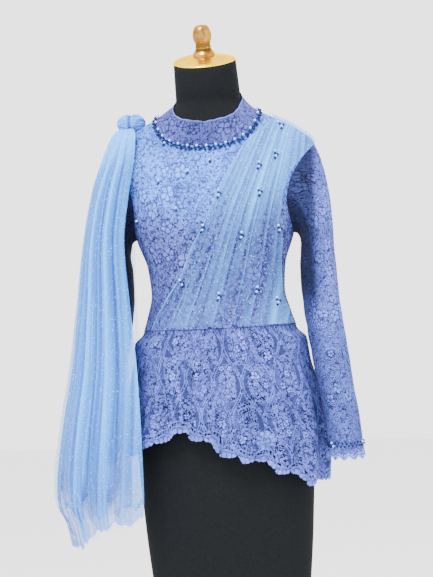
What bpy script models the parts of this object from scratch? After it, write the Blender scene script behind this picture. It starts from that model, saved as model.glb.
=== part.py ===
"""Lace kebaya blouse with a pleated shoulder drape, a pompom and a hanging tulle, on a limbless dress form.

Metres, +Z up, the garment's front towards -Y and the wearer's left towards +X. The origin is the middle of the
stand's underside. Angles round the body start at the wearer's left side (0), pass the front (90), the right
side (180) and the centre back (270).
"""

import math
from collections import namedtuple

import bpy
import numpy as np

for leftover in list(bpy.data.objects):
    bpy.data.objects.remove(leftover, do_unlink=True)

# Cloth and seams
CLOTH = 0.0015          # lace wall of bodice, sleeves and peplum
COLLAR_CLOTH = 0.0018
TULLE = 0.0011
SEAM_GAP = 0.0003
LAY_GAP = 0.0018        # between a panel and what lies on it

# Heights of the main lines
WAIST = 0.9940
UNDERARM = 1.1650
SHOULDER_TIP = 1.3375
NECK_SIDE = 1.3953
TORSO_BOTTOM = 0.4700
NECK_TOP = 1.4930
LEAN_START = 1.3850
NECK_LEAN = math.radians(21.0)

# Stand
POLE_RADIUS = 0.016

# Dress form: level sections, with the y of the front, of the sides and of the back
Section = namedtuple("Section", "height half_width front side back")
FORM = [
    Section(0.470, 0.146, -0.096, 0.004, 0.106),
    Section(0.620, 0.160, -0.106, 0.004, 0.114),
    Section(0.780, 0.168, -0.112, 0.004, 0.120),
    Section(0.880, 0.160, -0.110, 0.004, 0.114),
    Section(0.970, 0.1455, -0.101, 0.004, 0.096),
    Section(1.015, 0.1315, -0.095, 0.003, 0.086),
    Section(1.060, 0.1210, -0.090, 0.002, 0.078),
    Section(1.110, 0.125, -0.098, 0.000, 0.082),
    Section(1.165, 0.143, -0.108, 0.000, 0.092),
    Section(1.210, 0.151, -0.110, 0.004, 0.098),
    Section(1.260, 0.165, -0.101, 0.010, 0.104),
    Section(1.300, 0.180, -0.088, 0.014, 0.106),
    Section(1.3335, 0.188, -0.073, 0.017, 0.101),
    Section(1.3515, 0.169, -0.069, 0.017, 0.092),
    Section(1.374, 0.133, -0.066, 0.014, 0.080),
    Section(1.389, 0.101, -0.065, 0.010, 0.070),
    Section(1.400, 0.081, -0.066, 0.005, 0.064),
    Section(1.420, 0.0615, -0.069, -0.003, 0.056),
    Section(1.450, 0.0600, -0.079, -0.014, 0.046),
    Section(1.494, 0.0580, -0.091, -0.031, 0.028),
]
SQUARENESS = 2.2        # of the form's sections, where 2 is an ellipse
BUST_X = 0.078
BUST_HEIGHT = 1.200
BUST_FORWARD = 0.016
BUST_WIDTH = 0.045
BUST_LENGTH = 0.052
BUST_START = 2.5        # how fast the bust fades in from the side seam
FORM_AROUND = 28
FORM_ROWS = [
    0.560, 0.650, 0.740, 0.820, 0.890, 0.940, 0.985, 1.020, 1.055, 1.090, 1.125, 1.160, 1.200, 1.240, 1.280,
    1.308, 1.326, 1.340, 1.355, 1.370, 1.382, 1.392, 1.400, 1.408, 1.417, 1.430, 1.460,
]

# The cloth stands off level below this line and square to the form above the other
FRONT_ANGLES = (2.0, 178.0)     # searched for a point with a given x
HALVINGS = 28
LEVEL_END = 1.10
SQUARE_START = 1.28

# Room between form and cloth, by height
Ease = namedtuple("Ease", "height room")
EASE = [
    Ease(0.90, 0.0045),
    Ease(1.28, 0.0045),
    Ease(1.33, 0.0036),
    Ease(1.45, 0.0034),
]

# Neckline and collar rim, by angle from the wearer's left side to the centre front and back
Edge = namedtuple("Edge", "angle height")
NECKLINE_FRONT = [
    Edge(0, 1.3953), Edge(20, 1.3850), Edge(35, 1.3690), Edge(46, 1.3520),
    Edge(57, 1.3400), Edge(73, 1.3320), Edge(90, 1.3300),
]
NECKLINE_BACK = [Edge(0, 1.3953), Edge(30, 1.4010), Edge(60, 1.4045), Edge(90, 1.4050)]
RIM_FRONT = [
    Edge(0, 1.4215), Edge(30, 1.4090), Edge(60, 1.3840), Edge(90, 1.3760),
]
RIM_BACK = [Edge(0, 1.4215), Edge(30, 1.4340), Edge(60, 1.4430), Edge(90, 1.4450)]
COLLAR_ROWS = 3
COLLAR_SEAM = 0.0004    # from the neckline's edge up to the collar's
COLLAR_OUT = 0.0012     # how far the rim stands clear of the neck
COLLAR_CLEAR = 0.0030   # least room under its middle
COLLAR_MARGIN = 0.35    # degrees from the centre back

# Bodice panels
SIDE_ROWS = 7           # mesh rows along the side seam
ARMHOLE_ROWS = 8        # along half the armhole
RIDGE_ROWS = 4          # along the shoulder
BODICE_ROWS = SIDE_ROWS + ARMHOLE_ROWS + RIDGE_ROWS
QUARTER_COLUMNS = 9     # from a side to the centre
SIDE_CROWDING = 0.45    # how much closer together the columns run at the sides
ARMHOLE_CROWDING = 0.6  # and the rows at both ends of the armhole
PANEL_INSET = 0.0002    # each panel's edge in from the seam line

# Armhole: how far it cuts into front and back, in degrees round the body, by share of its height
Armhole = namedtuple("Armhole", "share front back")
ARMHOLE = [
    Armhole(0.00, 0.0, 0.0), Armhole(0.05, 6.5, 6.0), Armhole(0.16, 15.5, 14.0),
    Armhole(0.40, 22.5, 20.0), Armhole(0.65, 19.0, 17.0), Armhole(0.85, 11.0, 10.0),
    Armhole(1.00, 0.0, 0.0),
]

# Sleeves: middle x of each level ring for either side, its y, and its half widths
Ring = namedtuple("Ring", "height left_x right_x y half_x half_y")
SLEEVE = [
    Ring(1.110, 0.1915, -0.1980, 0.006, 0.0325, 0.0500),
    Ring(1.050, 0.1937, -0.1980, 0.000, 0.0335, 0.0480),
    Ring(0.995, 0.1997, -0.2035, -0.010, 0.0337, 0.0460),
    Ring(0.935, 0.2082, -0.2120, -0.022, 0.0332, 0.0440),
    Ring(0.875, 0.2168, -0.2200, -0.033, 0.0315, 0.0410),
    Ring(0.820, 0.2255, -0.2265, -0.042, 0.0310, 0.0385),
    Ring(0.765, 0.2310, -0.2325, -0.050, 0.0305, 0.0370),
]
SLEEVE_AROUND = 2 * ARMHOLE_ROWS
SLEEVE_SEAM = 0.0006    # from the armhole's edge to the sleeve's
ARM_ROWS = 8            # from the upper arm to the cuff
CAP_ROWS = 6            # from the armhole to the upper arm
CAP_CROWDING = 1.15
CAP_SPIN = 0.01         # share of a turn to either side for the armhole's direction
CAP_STEP = 0.02         # height below the upper arm for the arm's direction
CapWay = namedtuple("CapWay", "into outward down")
CAP_AT_TIP = CapWay(0.50, 0.45, 0.80)         # how the cap leaves the armhole at the shoulder tip
CAP_AT_UNDERARM = CapWay(0.30, 1.00, 0.00)    # and at the underarm
CUFF_TRIM = 0.022
CUFF_LEAN = (0.12, -0.14)                     # outward and forward for each unit down
CUFF_FLARE = 0.0012
CUFF_SCALLOPS = 8
CUFF_SCALLOP_RISE = 0.004

# Peplum: level sections of the flared skirt, and its hem seen from the front and back
Flare = namedtuple("Flare", "height half_width front back")
PEPLUM = [
    Flare(0.9940, 0.1440, -0.1060, 0.0990),
    Flare(0.9690, 0.1620, -0.1150, 0.1100),
    Flare(0.9300, 0.1670, -0.1220, 0.1210),
    Flare(0.8930, 0.1760, -0.1290, 0.1320),
    Flare(0.8550, 0.1850, -0.1340, 0.1400),
    Flare(0.8170, 0.1910, -0.1380, 0.1450),
    Flare(0.7790, 0.1950, -0.1410, 0.1490),
    Flare(0.7410, 0.1930, -0.1430, 0.1520),
    Flare(0.6900, 0.1885, -0.1440, 0.1540),
]
PEPLUM_SIDE_Y = 0.004
PEPLUM_TURN = 0.026     # height over which the gathers spring out from the waist seam
FLUTE_DEPTH = 0.0065
FLUTE_FALL = 0.25       # depth grows from nothing at the waist over this height
FLUTES = 16
FLUTE_DRIFT = 0.8       # how unevenly the flutes are spaced
FLUTE_DRIFTS = 3        # drifts and depth changes in one turn
FLUTE_CHANGES = 5
FLUTE_UNEVEN = 0.25     # how much their depth varies
Hem = namedtuple("Hem", "angle height")
HEM = [
    Hem(0, 0.7000), Hem(25, 0.7060), Hem(50, 0.7320), Hem(72, 0.7500), Hem(88, 0.7700),
    Hem(98, 0.7980), Hem(112, 0.7960), Hem(128, 0.7840), Hem(150, 0.7700), Hem(180, 0.7560),
    Hem(215, 0.7400), Hem(270, 0.7200), Hem(320, 0.7040), Hem(360, 0.7000),
]
SCALLOPS = 24           # round the whole hem
SCALLOP_DROP = 0.0085
PEPLUM_FRONT_COLUMNS = 42
PEPLUM_ROWS = 6
PEPLUM_CROWDING = 0.9
PEPLUM_MARGIN = 0.10    # degrees from each seam
GAP_ACROSS = 0.62       # share of a mesh cell that a cut lace gap takes, across and up
GAP_UP = 0.36

# Pleated drape: its free edge from the neck side of the left shoulder down to the right waist
DrapeEdge = namedtuple("DrapeEdge", "x height")
DRAPE_EDGE = [
    DrapeEdge(0.0870, 1.3440), DrapeEdge(0.0610, 1.3094), DrapeEdge(0.0364, 1.2668),
    DrapeEdge(0.0162, 1.2252), DrapeEdge(-0.0061, 1.1811), DrapeEdge(-0.0269, 1.1478),
    DrapeEdge(-0.0532, 1.0946), DrapeEdge(-0.0782, 1.0608), DrapeEdge(-0.1080, 1.0179),
    DrapeEdge(-0.1180, 0.9980),
]
DrapeSide = namedtuple("DrapeSide", "height angle")
DRAPE_SIDE = [
    DrapeSide(0.9950, 9.0), DrapeSide(1.0500, 12.0), DrapeSide(1.1100, 17.0), DrapeSide(1.1650, 24.0),
    DrapeSide(1.2000, 27.0), DrapeSide(1.2300, 27.5), DrapeSide(1.2700, 24.0), DrapeSide(1.3100, 14.0),
    DrapeSide(1.3330, 5.0),
]
DRAPE_PLEATS = 11
DRAPE_ROWS = 16
DRAPE_HUMP = 0.0030     # more room under it over the shoulder
DRAPE_HUMP_ENDS = (0.6, 1.4)    # its share at the neck side and at the shoulder tip
DRAPE_HUMP_REACH = 3.0          # the hump fades out over one part in this many of its length
PLEAT_TOP = 0.0016
PLEAT_BOTTOM = 0.0030
DRAPE_TOP = NECK_SIDE - 0.0050
DRAPE_FOOT = WAIST + 0.0020

# Hanging tulle on the right shoulder: level sections of the gathered sheet, seen from above as an arc from
# front_x, front_y over outer_x to back_x, back_y
Fall = namedtuple("Fall", "height front_x front_y outer_x back_x back_y fold")
TULLE_FALL = [
    Fall(1.3800, -0.1480, -0.0064, -0.1802, -0.1500, 0.0376, 0.0007),
    Fall(1.3720, -0.1400, -0.0330, -0.1880, -0.1500, 0.0540, 0.0014),
    Fall(1.3600, -0.1340, -0.0570, -0.1950, -0.1520, 0.0660, 0.0022),
    Fall(1.3166, -0.1360, -0.0700, -0.2150, -0.1560, 0.0860, 0.0036),
    Fall(1.2487, -0.1460, -0.0880, -0.2370, -0.1620, 0.0960, 0.0046),
    Fall(1.1574, -0.1570, -0.0980, -0.2560, -0.1760, 0.1020, 0.0058),
    Fall(1.0426, -0.1500, -0.1060, -0.2740, -0.1800, 0.1100, 0.0072),
    Fall(0.9276, -0.1400, -0.1180, -0.2930, -0.1800, 0.1220, 0.0086),
    Fall(0.8125, -0.1340, -0.1360, -0.3150, -0.1740, 0.1330, 0.0100),
    Fall(0.6970, -0.1330, -0.1430, -0.3310, -0.1780, 0.1400, 0.0112),
    Fall(0.6700, -0.1350, -0.1440, -0.3280, -0.1790, 0.1410, 0.0114),
    Fall(0.6400, -0.1380, -0.1450, -0.3130, -0.1800, 0.1420, 0.0117),
    Fall(0.5900, -0.1400, -0.1450, -0.3020, -0.1820, 0.1420, 0.0120),
]
TULLE_FOLDS = 6         # in each of the front and back parts
TULLE_STEPS = 4         # mesh columns a fold
TULLE_ROWS = 10
TULLE_CROWDING = 1.9    # power that brings the rows closer together over the shoulder
TULLE_SQUARENESS = 0.75 # power that fills out the sides of its level sections
TULLE_PARTS = (("tulle_front", 0.0, 0.4978), ("tulle_back", 0.5022, 1.0))
TULLE_ENDS = (0.15, 0.85)   # its front and back stretches, where outward is mostly forward or back
TULLE_STEP = 0.01           # share to either side for its direction
TulleHem = namedtuple("TulleHem", "share height")
TULLE_HEM = [
    TulleHem(0.00, 0.6440), TulleHem(0.12, 0.6350), TulleHem(0.22, 0.6120), TulleHem(0.30, 0.5920),
    TulleHem(0.37, 0.6000), TulleHem(0.44, 0.6450), TulleHem(0.50, 0.6740), TulleHem(0.56, 0.6580),
    TulleHem(0.66, 0.6300), TulleHem(0.80, 0.6180), TulleHem(1.00, 0.6400),
]

# Pompom
POMPOM = (-0.1550, 0.0160, 1.3915)
POMPOM_SIZE = (0.0270, 0.0250, 0.0180)
POMPOM_RUFFLES = 11
POMPOM_RUFFLE = 0.0022
POMPOM_RINGS = 9
POMPOM_AROUND = 3 * POMPOM_RUFFLES
POMPOM_GROOVE = 0.16    # share of its size, both depth and width
POMPOM_POLE = 0.84

# Cap and finial, turned profiles as radius and height along the neck's axis
Turn = namedtuple("Turn", "radius height")
CAP_PROFILE = [
    Turn(0.0560, 0.0000), Turn(0.0588, 0.0008), Turn(0.0590, 0.0024), Turn(0.0575, 0.0042),
    Turn(0.0480, 0.0076), Turn(0.0340, 0.0108), Turn(0.0215, 0.0122),
]
FINIAL_PROFILE = [
    Turn(0.0205, 0.0000), Turn(0.0200, 0.0040), Turn(0.0150, 0.0110), Turn(0.0142, 0.0135),
    Turn(0.0150, 0.0155), Turn(0.0138, 0.0180), Turn(0.0142, 0.0230), Turn(0.0168, 0.0300),
    Turn(0.0177, 0.0370), Turn(0.0165, 0.0450), Turn(0.0135, 0.0520), Turn(0.0100, 0.0556),
]
BASE_PROFILE = [
    Turn(0.170, 0.000), Turn(0.170, 0.008), Turn(0.160, 0.014), Turn(0.060, 0.018), Turn(0.040, 0.022),
]
TURNED_SIDES = 20

# Finishes: colour, roughness, metallic
Finish = namedtuple("Finish", "colour roughness metallic")
LACE = Finish((0.235, 0.290, 0.600), 0.80, 0.0)
TULLE_FINISH = Finish((0.330, 0.480, 0.760), 0.70, 0.0)
FORM_CLOTH = Finish((0.018, 0.018, 0.022), 0.75, 0.0)
GOLD = Finish((0.760, 0.520, 0.230), 0.35, 0.0)
STEEL = Finish((0.030, 0.030, 0.032), 0.40, 0.8)


# ---------------------------------------------------------------- curves and vectors

def smooth_table(xs, ys, x):
    """Value at x of a curve through the points that never overshoots them."""
    if x <= xs[0]:
        return ys[0]
    if x >= xs[-1]:
        return ys[-1]
    i = int(np.searchsorted(xs, x)) - 1
    slopes = [(ys[k + 1] - ys[k]) / (xs[k + 1] - xs[k]) for k in range(len(xs) - 1)]

    def tangent(k):
        if k == 0:
            return slopes[0]
        if k == len(slopes):
            return slopes[-1]
        before = slopes[k - 1]
        after = slopes[k]
        if before * after <= 0:
            return 0.0
        return 2.0 * before * after / (before + after)

    step = xs[i + 1] - xs[i]
    t = (x - xs[i]) / step
    start = ys[i] * (1 + 2 * t) * (1 - t) ** 2 + step * tangent(i) * t * (1 - t) ** 2
    end = ys[i + 1] * t * t * (3 - 2 * t) + step * tangent(i + 1) * t * t * (t - 1)
    return start + end


def column(table, name, x):
    """Smooth value of one named column, looked up by the table's first column."""
    rows = sorted(table, key=lambda row: row[0])
    xs = [row[0] for row in rows]
    ys = [getattr(row, name) for row in rows]
    return smooth_table(xs, ys, x)


def unit(vector):
    return vector / max(float(np.linalg.norm(vector)), 1e-12)


def mix(a, b, t):
    return a * (1.0 - t) + b * t


def smooth_step(t):
    t = min(max(t, 0.0), 1.0)
    return t * t * (3 - 2 * t)


# ---------------------------------------------------------------- the body's surface

def form_lean(height):
    """Tangent of the sections' forward tilt, from level at the shoulders to the cap's."""
    return math.tan(NECK_LEAN) * smooth_step((height - LEAN_START) / (NECK_TOP - LEAN_START))


def bust(x, height):
    low = math.exp(-((height - BUST_HEIGHT) / BUST_LENGTH) ** 2 / 2)
    left = math.exp(-((x - BUST_X) / BUST_WIDTH) ** 2 / 2)
    right = math.exp(-((x + BUST_X) / BUST_WIDTH) ** 2 / 2)
    return BUST_FORWARD * low * (left + right)


def form_point(angle, height):
    """Point of the dress form at an angle in degrees and a height."""
    turn = math.radians(angle)
    across = math.cos(turn)
    forward = math.sin(turn)
    width = column(FORM, "half_width", height)
    side = column(FORM, "side", height)
    if forward >= 0:
        depth = side - column(FORM, "front", height)
    else:
        depth = column(FORM, "back", height) - side
    power = abs(across / width) ** SQUARENESS + abs(forward / depth) ** SQUARENESS
    reach = power ** (-1.0 / SQUARENESS)
    x = reach * across
    y = -reach * forward
    z = height + form_lean(height) * y
    if forward > 0:
        y -= bust(x, height) * min(forward * BUST_START, 1.0)
    return np.array([x, side + y, z])


def form_normal(angle, height):
    turn = form_point(angle + 0.5, height) - form_point(angle - 0.5, height)
    rise = form_point(angle, height + 0.0005) - form_point(angle, height - 0.0005)
    return unit(np.cross(rise, turn))


def garment_point(angle, height, out=0.0):
    """Point of the fitted garment's inner face, moved out: level below the bust, square to the surface above."""
    room = column(EASE, "room", height) + out
    normal = form_normal(angle, height)
    level = unit(normal * np.array([1.0, 1.0, 0.0]))
    share = smooth_step((height - LEVEL_END) / (SQUARE_START - LEVEL_END))
    way = unit(mix(level, normal, share))
    return form_point(angle, height) + way * (room / float(np.dot(way, normal)))


def angle_at(x, height, out):
    """Angle on the front whose garment point has the given x."""
    low, high = FRONT_ANGLES
    for _ in range(HALVINGS):
        middle = (low + high) / 2
        if garment_point(middle, height, out)[0] > x:
            low = middle
        else:
            high = middle
    return (low + high) / 2


def fold_angle(angle):
    """Quarter angle 0 to 90 from the nearer side, and whether the point is on the front."""
    angle = angle % 360
    on_front = angle <= 180
    quarter = angle if on_front else 360 - angle
    return min(quarter, 180 - quarter), on_front


def neckline(angle):
    quarter, on_front = fold_angle(angle)
    return column(NECKLINE_FRONT if on_front else NECKLINE_BACK, "height", quarter)


def rim_height(angle):
    quarter, on_front = fold_angle(angle)
    return column(RIM_FRONT if on_front else RIM_BACK, "height", quarter)


# ---------------------------------------------------------------- meshes

def material(name, finish):
    made = bpy.data.materials.new(name)
    made.use_nodes = True
    shader = made.node_tree.nodes["Principled BSDF"]
    shader.inputs["Base Color"].default_value = (*finish.colour, 1.0)
    shader.inputs["Roughness"].default_value = finish.roughness
    shader.inputs["Metallic"].default_value = finish.metallic
    return made


def add_object(name, points, faces, finish, sharp_angle=40.0):
    mesh = bpy.data.meshes.new(name)
    mesh.from_pydata([tuple(float(value) for value in point) for point in points], [], faces)
    mesh.validate()
    mesh.shade_smooth()
    mesh.set_sharp_from_angle(angle=math.radians(sharp_angle))
    mesh.materials.append(material(name, finish))
    made = bpy.data.objects.new(name, mesh)
    bpy.context.scene.collection.objects.link(made)
    return made


def orient(points, faces):
    """Turns every face round when the closed body would be inside out."""
    volume = 0.0
    for face in faces:
        first = points[face[0]]
        for k in range(1, len(face) - 1):
            volume += float(np.dot(first, np.cross(points[face[k]], points[face[k + 1]])))
    if volume < 0:
        return [tuple(reversed(face)) for face in faces]
    return faces


def wall(name, inner, outer, finish, closed=False, holes=()):
    """A cloth wall between two grids of points; a hole is a grid cell with its middle cut through."""
    rows = len(inner)
    columns = len(inner[0])
    points = []
    index = {}
    for side, grid in enumerate((inner, outer)):
        for i in range(rows):
            for j in range(columns):
                index[side, i, j] = len(points)
                points.append(np.asarray(grid[i][j], dtype=float))
    faces = []
    spans = columns if closed else columns - 1
    for i in range(rows - 1):
        for j in range(spans):
            k = (j + 1) % columns
            corners = [(i, j), (i, k), (i + 1, k), (i + 1, j)]
            if (i, j) in holes:
                cut_cell(points, faces, index, corners)
                continue
            add_cell(points, faces, index, corners)
    for j in range(spans):
        k = (j + 1) % columns
        faces.append((index[0, 0, j], index[0, 0, k], index[1, 0, k], index[1, 0, j]))
        last = rows - 1
        faces.append((index[0, last, k], index[0, last, j], index[1, last, j], index[1, last, k]))
    if not closed:
        for i in range(rows - 1):
            faces.append((index[0, i + 1, 0], index[0, i, 0], index[1, i, 0], index[1, i + 1, 0]))
            last = columns - 1
            faces.append((index[0, i, last], index[0, i + 1, last], index[1, i + 1, last], index[1, i, last]))
    return add_object(name, points, orient(points, faces), finish)


def add_cell(points, faces, index, corners):
    """Both faces of one cell, split along the shorter diagonal of the outer face."""
    ring = [points[index[(1, *corner)]] for corner in corners]
    turned = np.linalg.norm(ring[1] - ring[3]) < np.linalg.norm(ring[0] - ring[2])
    order = (1, 2, 3, 0) if turned else (0, 1, 2, 3)
    a, b, c, d = (corners[k] for k in order)
    for triangle in ((a, b, c), (a, c, d)):
        faces.append(tuple(index[(1, *corner)] for corner in triangle))
        faces.append(tuple(index[(0, *corner)] for corner in reversed(triangle)))


def cut_cell(points, faces, index, corners):
    """Replaces one cell by a frame round a gap through the cloth."""
    frame = {}
    for side in (0, 1):
        ring = [points[index[(side, *corner)]] for corner in corners]
        middle = sum(ring) / 4.0
        across = (ring[1] + ring[2] - ring[0] - ring[3]) / 4.0
        up = (ring[2] + ring[3] - ring[0] - ring[1]) / 4.0
        for n, (side_way, up_way) in enumerate(((-1, -1), (1, -1), (1, 1), (-1, 1))):
            frame[side, n] = len(points)
            points.append(middle + across * GAP_ACROSS * side_way + up * GAP_UP * up_way)
    for n in range(4):
        m = (n + 1) % 4
        a = corners[n]
        b = corners[m]
        faces.append((index[(1, *a)], index[(1, *b)], frame[1, m], frame[1, n]))
        faces.append((index[(0, *b)], index[(0, *a)], frame[0, n], frame[0, m]))
        faces.append((frame[1, n], frame[1, m], frame[0, m], frame[0, n]))


def lathe(name, profile, centre, lean, finish):
    """A turned solid about an axis that leans forward by the given angle."""
    points = []
    for turn in profile:
        for k in range(TURNED_SIDES):
            spin = 2 * math.pi * k / TURNED_SIDES
            x = turn.radius * math.cos(spin)
            y = turn.radius * math.sin(spin)
            z = turn.height
            leaned_y = y * math.cos(lean) - z * math.sin(lean)
            leaned_z = y * math.sin(lean) + z * math.cos(lean)
            points.append(np.array(centre) + np.array([x, leaned_y, leaned_z]))
    faces = []
    for i in range(len(profile) - 1):
        for k in range(TURNED_SIDES):
            m = (k + 1) % TURNED_SIDES
            row = i * TURNED_SIDES
            faces.append((row + k, row + m, row + TURNED_SIDES + m, row + TURNED_SIDES + k))
    top = (len(profile) - 1) * TURNED_SIDES
    faces.append(tuple(range(TURNED_SIDES - 1, -1, -1)))
    faces.append(tuple(top + k for k in range(TURNED_SIDES)))
    return add_object(name, points, orient(points, faces), finish)


# ---------------------------------------------------------------- patches in angle and height

def coons(bottom, top, left, right, across, up):
    """Grid of (angle, height) filled in between four edge curves, each a function of 0 to 1."""
    corner = [bottom(0.0), bottom(1.0), top(0.0), top(1.0)]
    grid = []
    for i in range(up + 1):
        v = i / up
        row = []
        for j in range(across + 1):
            u = j / across
            edges = (1 - v) * bottom(u) + v * top(u) + (1 - u) * left(v) + u * right(v)
            base = (1 - v) * ((1 - u) * corner[0] + u * corner[1])
            lid = v * ((1 - u) * corner[2] + u * corner[3])
            row.append(edges - base - lid)
        grid.append(row)
    return grid


def pull_in(grid, distance):
    """Moves the outermost points of a grid of points in from the seam lines."""
    rows = len(grid)
    columns = len(grid[0])
    moved = [[point.copy() for point in row] for row in grid]
    for i in range(rows):
        for j in range(columns):
            if i in (0, rows - 1):
                inward = grid[1][j] if i == 0 else grid[rows - 2][j]
                moved[i][j] += unit(inward - grid[i][j]) * distance
            if j in (0, columns - 1):
                inward = grid[i][1] if j == 0 else grid[i][columns - 2]
                moved[i][j] += unit(inward - grid[i][j]) * distance
    return moved


def fitted_wall(name, grid):
    inner = [[garment_point(*spot) for spot in row] for row in grid]
    outer = [[garment_point(*spot, CLOTH) for spot in row] for row in grid]
    wall(name, pull_in(inner, PANEL_INSET), pull_in(outer, PANEL_INSET), LACE)


def armhole_edge(part, side_angle, towards, which):
    share = mix(part, (1 - math.cos(math.pi * part)) / 2, ARMHOLE_CROWDING)
    height = mix(UNDERARM, SHOULDER_TIP, share)
    return np.array([side_angle + towards * column(ARMHOLE, which, share), height])


def side_edge(share, side_angle, towards, which):
    """Side seam, armhole and shoulder, from the waist up to the side of the neck."""
    row = share * BODICE_ROWS
    if row <= SIDE_ROWS:
        return np.array([side_angle, mix(WAIST, UNDERARM, row / SIDE_ROWS)])
    row -= SIDE_ROWS
    if row <= ARMHOLE_ROWS:
        return armhole_edge(row / ARMHOLE_ROWS, side_angle, towards, which)
    return np.array([side_angle, mix(SHOULDER_TIP, NECK_SIDE, (row - ARMHOLE_ROWS) / RIDGE_ROWS)])


def side_bunched(u):
    """Share of the front's half turn, with its columns closer together at the sides."""
    return mix(u, (1 - math.cos(math.pi * u)) / 2, SIDE_CROWDING)


def build_bodice():
    def front_angle(u):
        return 180.0 * side_bunched(u)

    front = coons(
        lambda u: np.array([front_angle(u), WAIST]),
        lambda u: np.array([front_angle(u), neckline(front_angle(u))]),
        lambda v: side_edge(v, 0.0, 1.0, "front"),
        lambda v: side_edge(v, 180.0, -1.0, "front"),
        2 * QUARTER_COLUMNS,
        BODICE_ROWS,
    )
    fitted_wall("bodice_front", front)
    for name, start, turn in (("bodice_back_left", 360.0, -1.0), ("bodice_back_right", 180.0, 1.0)):
        def back_angle(u):
            return start + turn * front_angle(u / 2)

        grid = coons(
            lambda u: np.array([back_angle(u), WAIST]),
            lambda u: np.array([back_angle(u), neckline(back_angle(u))]),
            lambda v: side_edge(v, start, turn, "back"),
            lambda v: np.array([270.0, mix(WAIST, neckline(270.0), v)]),
            QUARTER_COLUMNS,
            BODICE_ROWS,
        )
        fitted_wall(name, grid)


# ---------------------------------------------------------------- collar

def collar_point(angle, share, out):
    base_height = neckline(angle)
    base = garment_point(angle, base_height, out)
    top_height = rim_height(angle)
    top = form_point(angle, top_height) + form_normal(angle, top_height) * (COLLAR_OUT + out)
    point = mix(base + unit(top - base) * COLLAR_SEAM, top, share)
    height = mix(base_height, top_height, share)
    normal = form_normal(angle, height)
    room = float(np.dot(point - form_point(angle, height), normal)) - out
    if 0 < share < 1 and room < COLLAR_CLEAR:
        point += normal * (COLLAR_CLEAR - room)
    return point


def build_collar():
    quarter = [180.0 * side_bunched(k / (2 * QUARTER_COLUMNS)) for k in range(QUARTER_COLUMNS + 1)]
    half = quarter + [180.0 - angle for angle in reversed(quarter[:-1])]
    angles = [-angle for angle in reversed(quarter[1:])] + half + [180.0 + angle for angle in quarter[1:]]
    angles[0] += COLLAR_MARGIN
    angles[-1] -= COLLAR_MARGIN
    inner = []
    outer = []
    for i in range(COLLAR_ROWS + 1):
        share = i / COLLAR_ROWS
        inner.append([collar_point(angle, share, 0.0) for angle in angles])
        outer.append([collar_point(angle, share, COLLAR_CLOTH) for angle in angles])
    wall("collar", inner, outer, LACE)


# ---------------------------------------------------------------- sleeves

def armhole_spot(spin, start, turn):
    """Angle and height on the armhole; spin runs from the underarm over the front to the tip and the back."""
    if spin <= 0.5:
        return armhole_edge(spin / 0.5, start, turn, "front")
    return armhole_edge((1.0 - spin) / 0.5, start, -turn, "back")


def ring_direction(spin, sign):
    """Level direction from the arm's middle: the body side first, then front, outside and back."""
    turn = 2 * math.pi * spin
    return np.array([-sign * math.cos(turn), -math.sin(turn), 0.0])


def arm_ring(height, side, sign, spin, out):
    x = column(SLEEVE, side, height)
    y = column(SLEEVE, "y", height)
    half_x = column(SLEEVE, "half_x", height)
    half_y = column(SLEEVE, "half_y", height)
    way = ring_direction(spin, sign)
    return np.array([x + way[0] * (half_x + out), y + way[1] * (half_y + out), height])


def cap_curve(spin, start, turn, side, sign):
    """Ends and tangents of the line that runs from one armhole point down to the upper arm's ring."""
    angle, height = armhole_spot(spin, start, turn)
    before = garment_point(*armhole_spot((spin - CAP_SPIN) % 1.0, start, turn), CLOTH / 2)
    after = garment_point(*armhole_spot((spin + CAP_SPIN) % 1.0, start, turn), CLOTH / 2)
    normal = form_normal(angle, height)
    seam = unit(after - before)
    into = unit(np.cross(seam, normal))
    centre = garment_point(start, mix(UNDERARM, SHOULDER_TIP, 0.5))
    root = garment_point(angle, height, CLOTH / 2)
    if np.dot(into, centre - root) < 0:
        into = -into
    low = 0.5 + 0.5 * math.cos(2 * math.pi * spin)
    outward = np.array([sign, 0.0, 0.0])
    down = np.array([0.0, 0.0, -1.0])
    way = CapWay(*(mix(*pair, low) for pair in zip(CAP_AT_TIP, CAP_AT_UNDERARM)))
    start_way = unit(into * way.into + outward * way.outward + down * way.down)
    end = arm_ring(SLEEVE[0].height, side, sign, spin, CLOTH / 2)
    lower = arm_ring(SLEEVE[0].height - CAP_STEP, side, sign, spin, CLOTH / 2)
    end_way = unit(lower - end)
    return root, start_way, end, end_way, into


def hermite(start, start_way, end, end_way, t):
    reach = np.linalg.norm(end - start)
    a = start * (1 + 2 * t) * (1 - t) ** 2 + start_way * reach * t * (1 - t) ** 2
    b = end * t * t * (3 - 2 * t) + end_way * reach * t * t * (t - 1)
    return a + b


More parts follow.
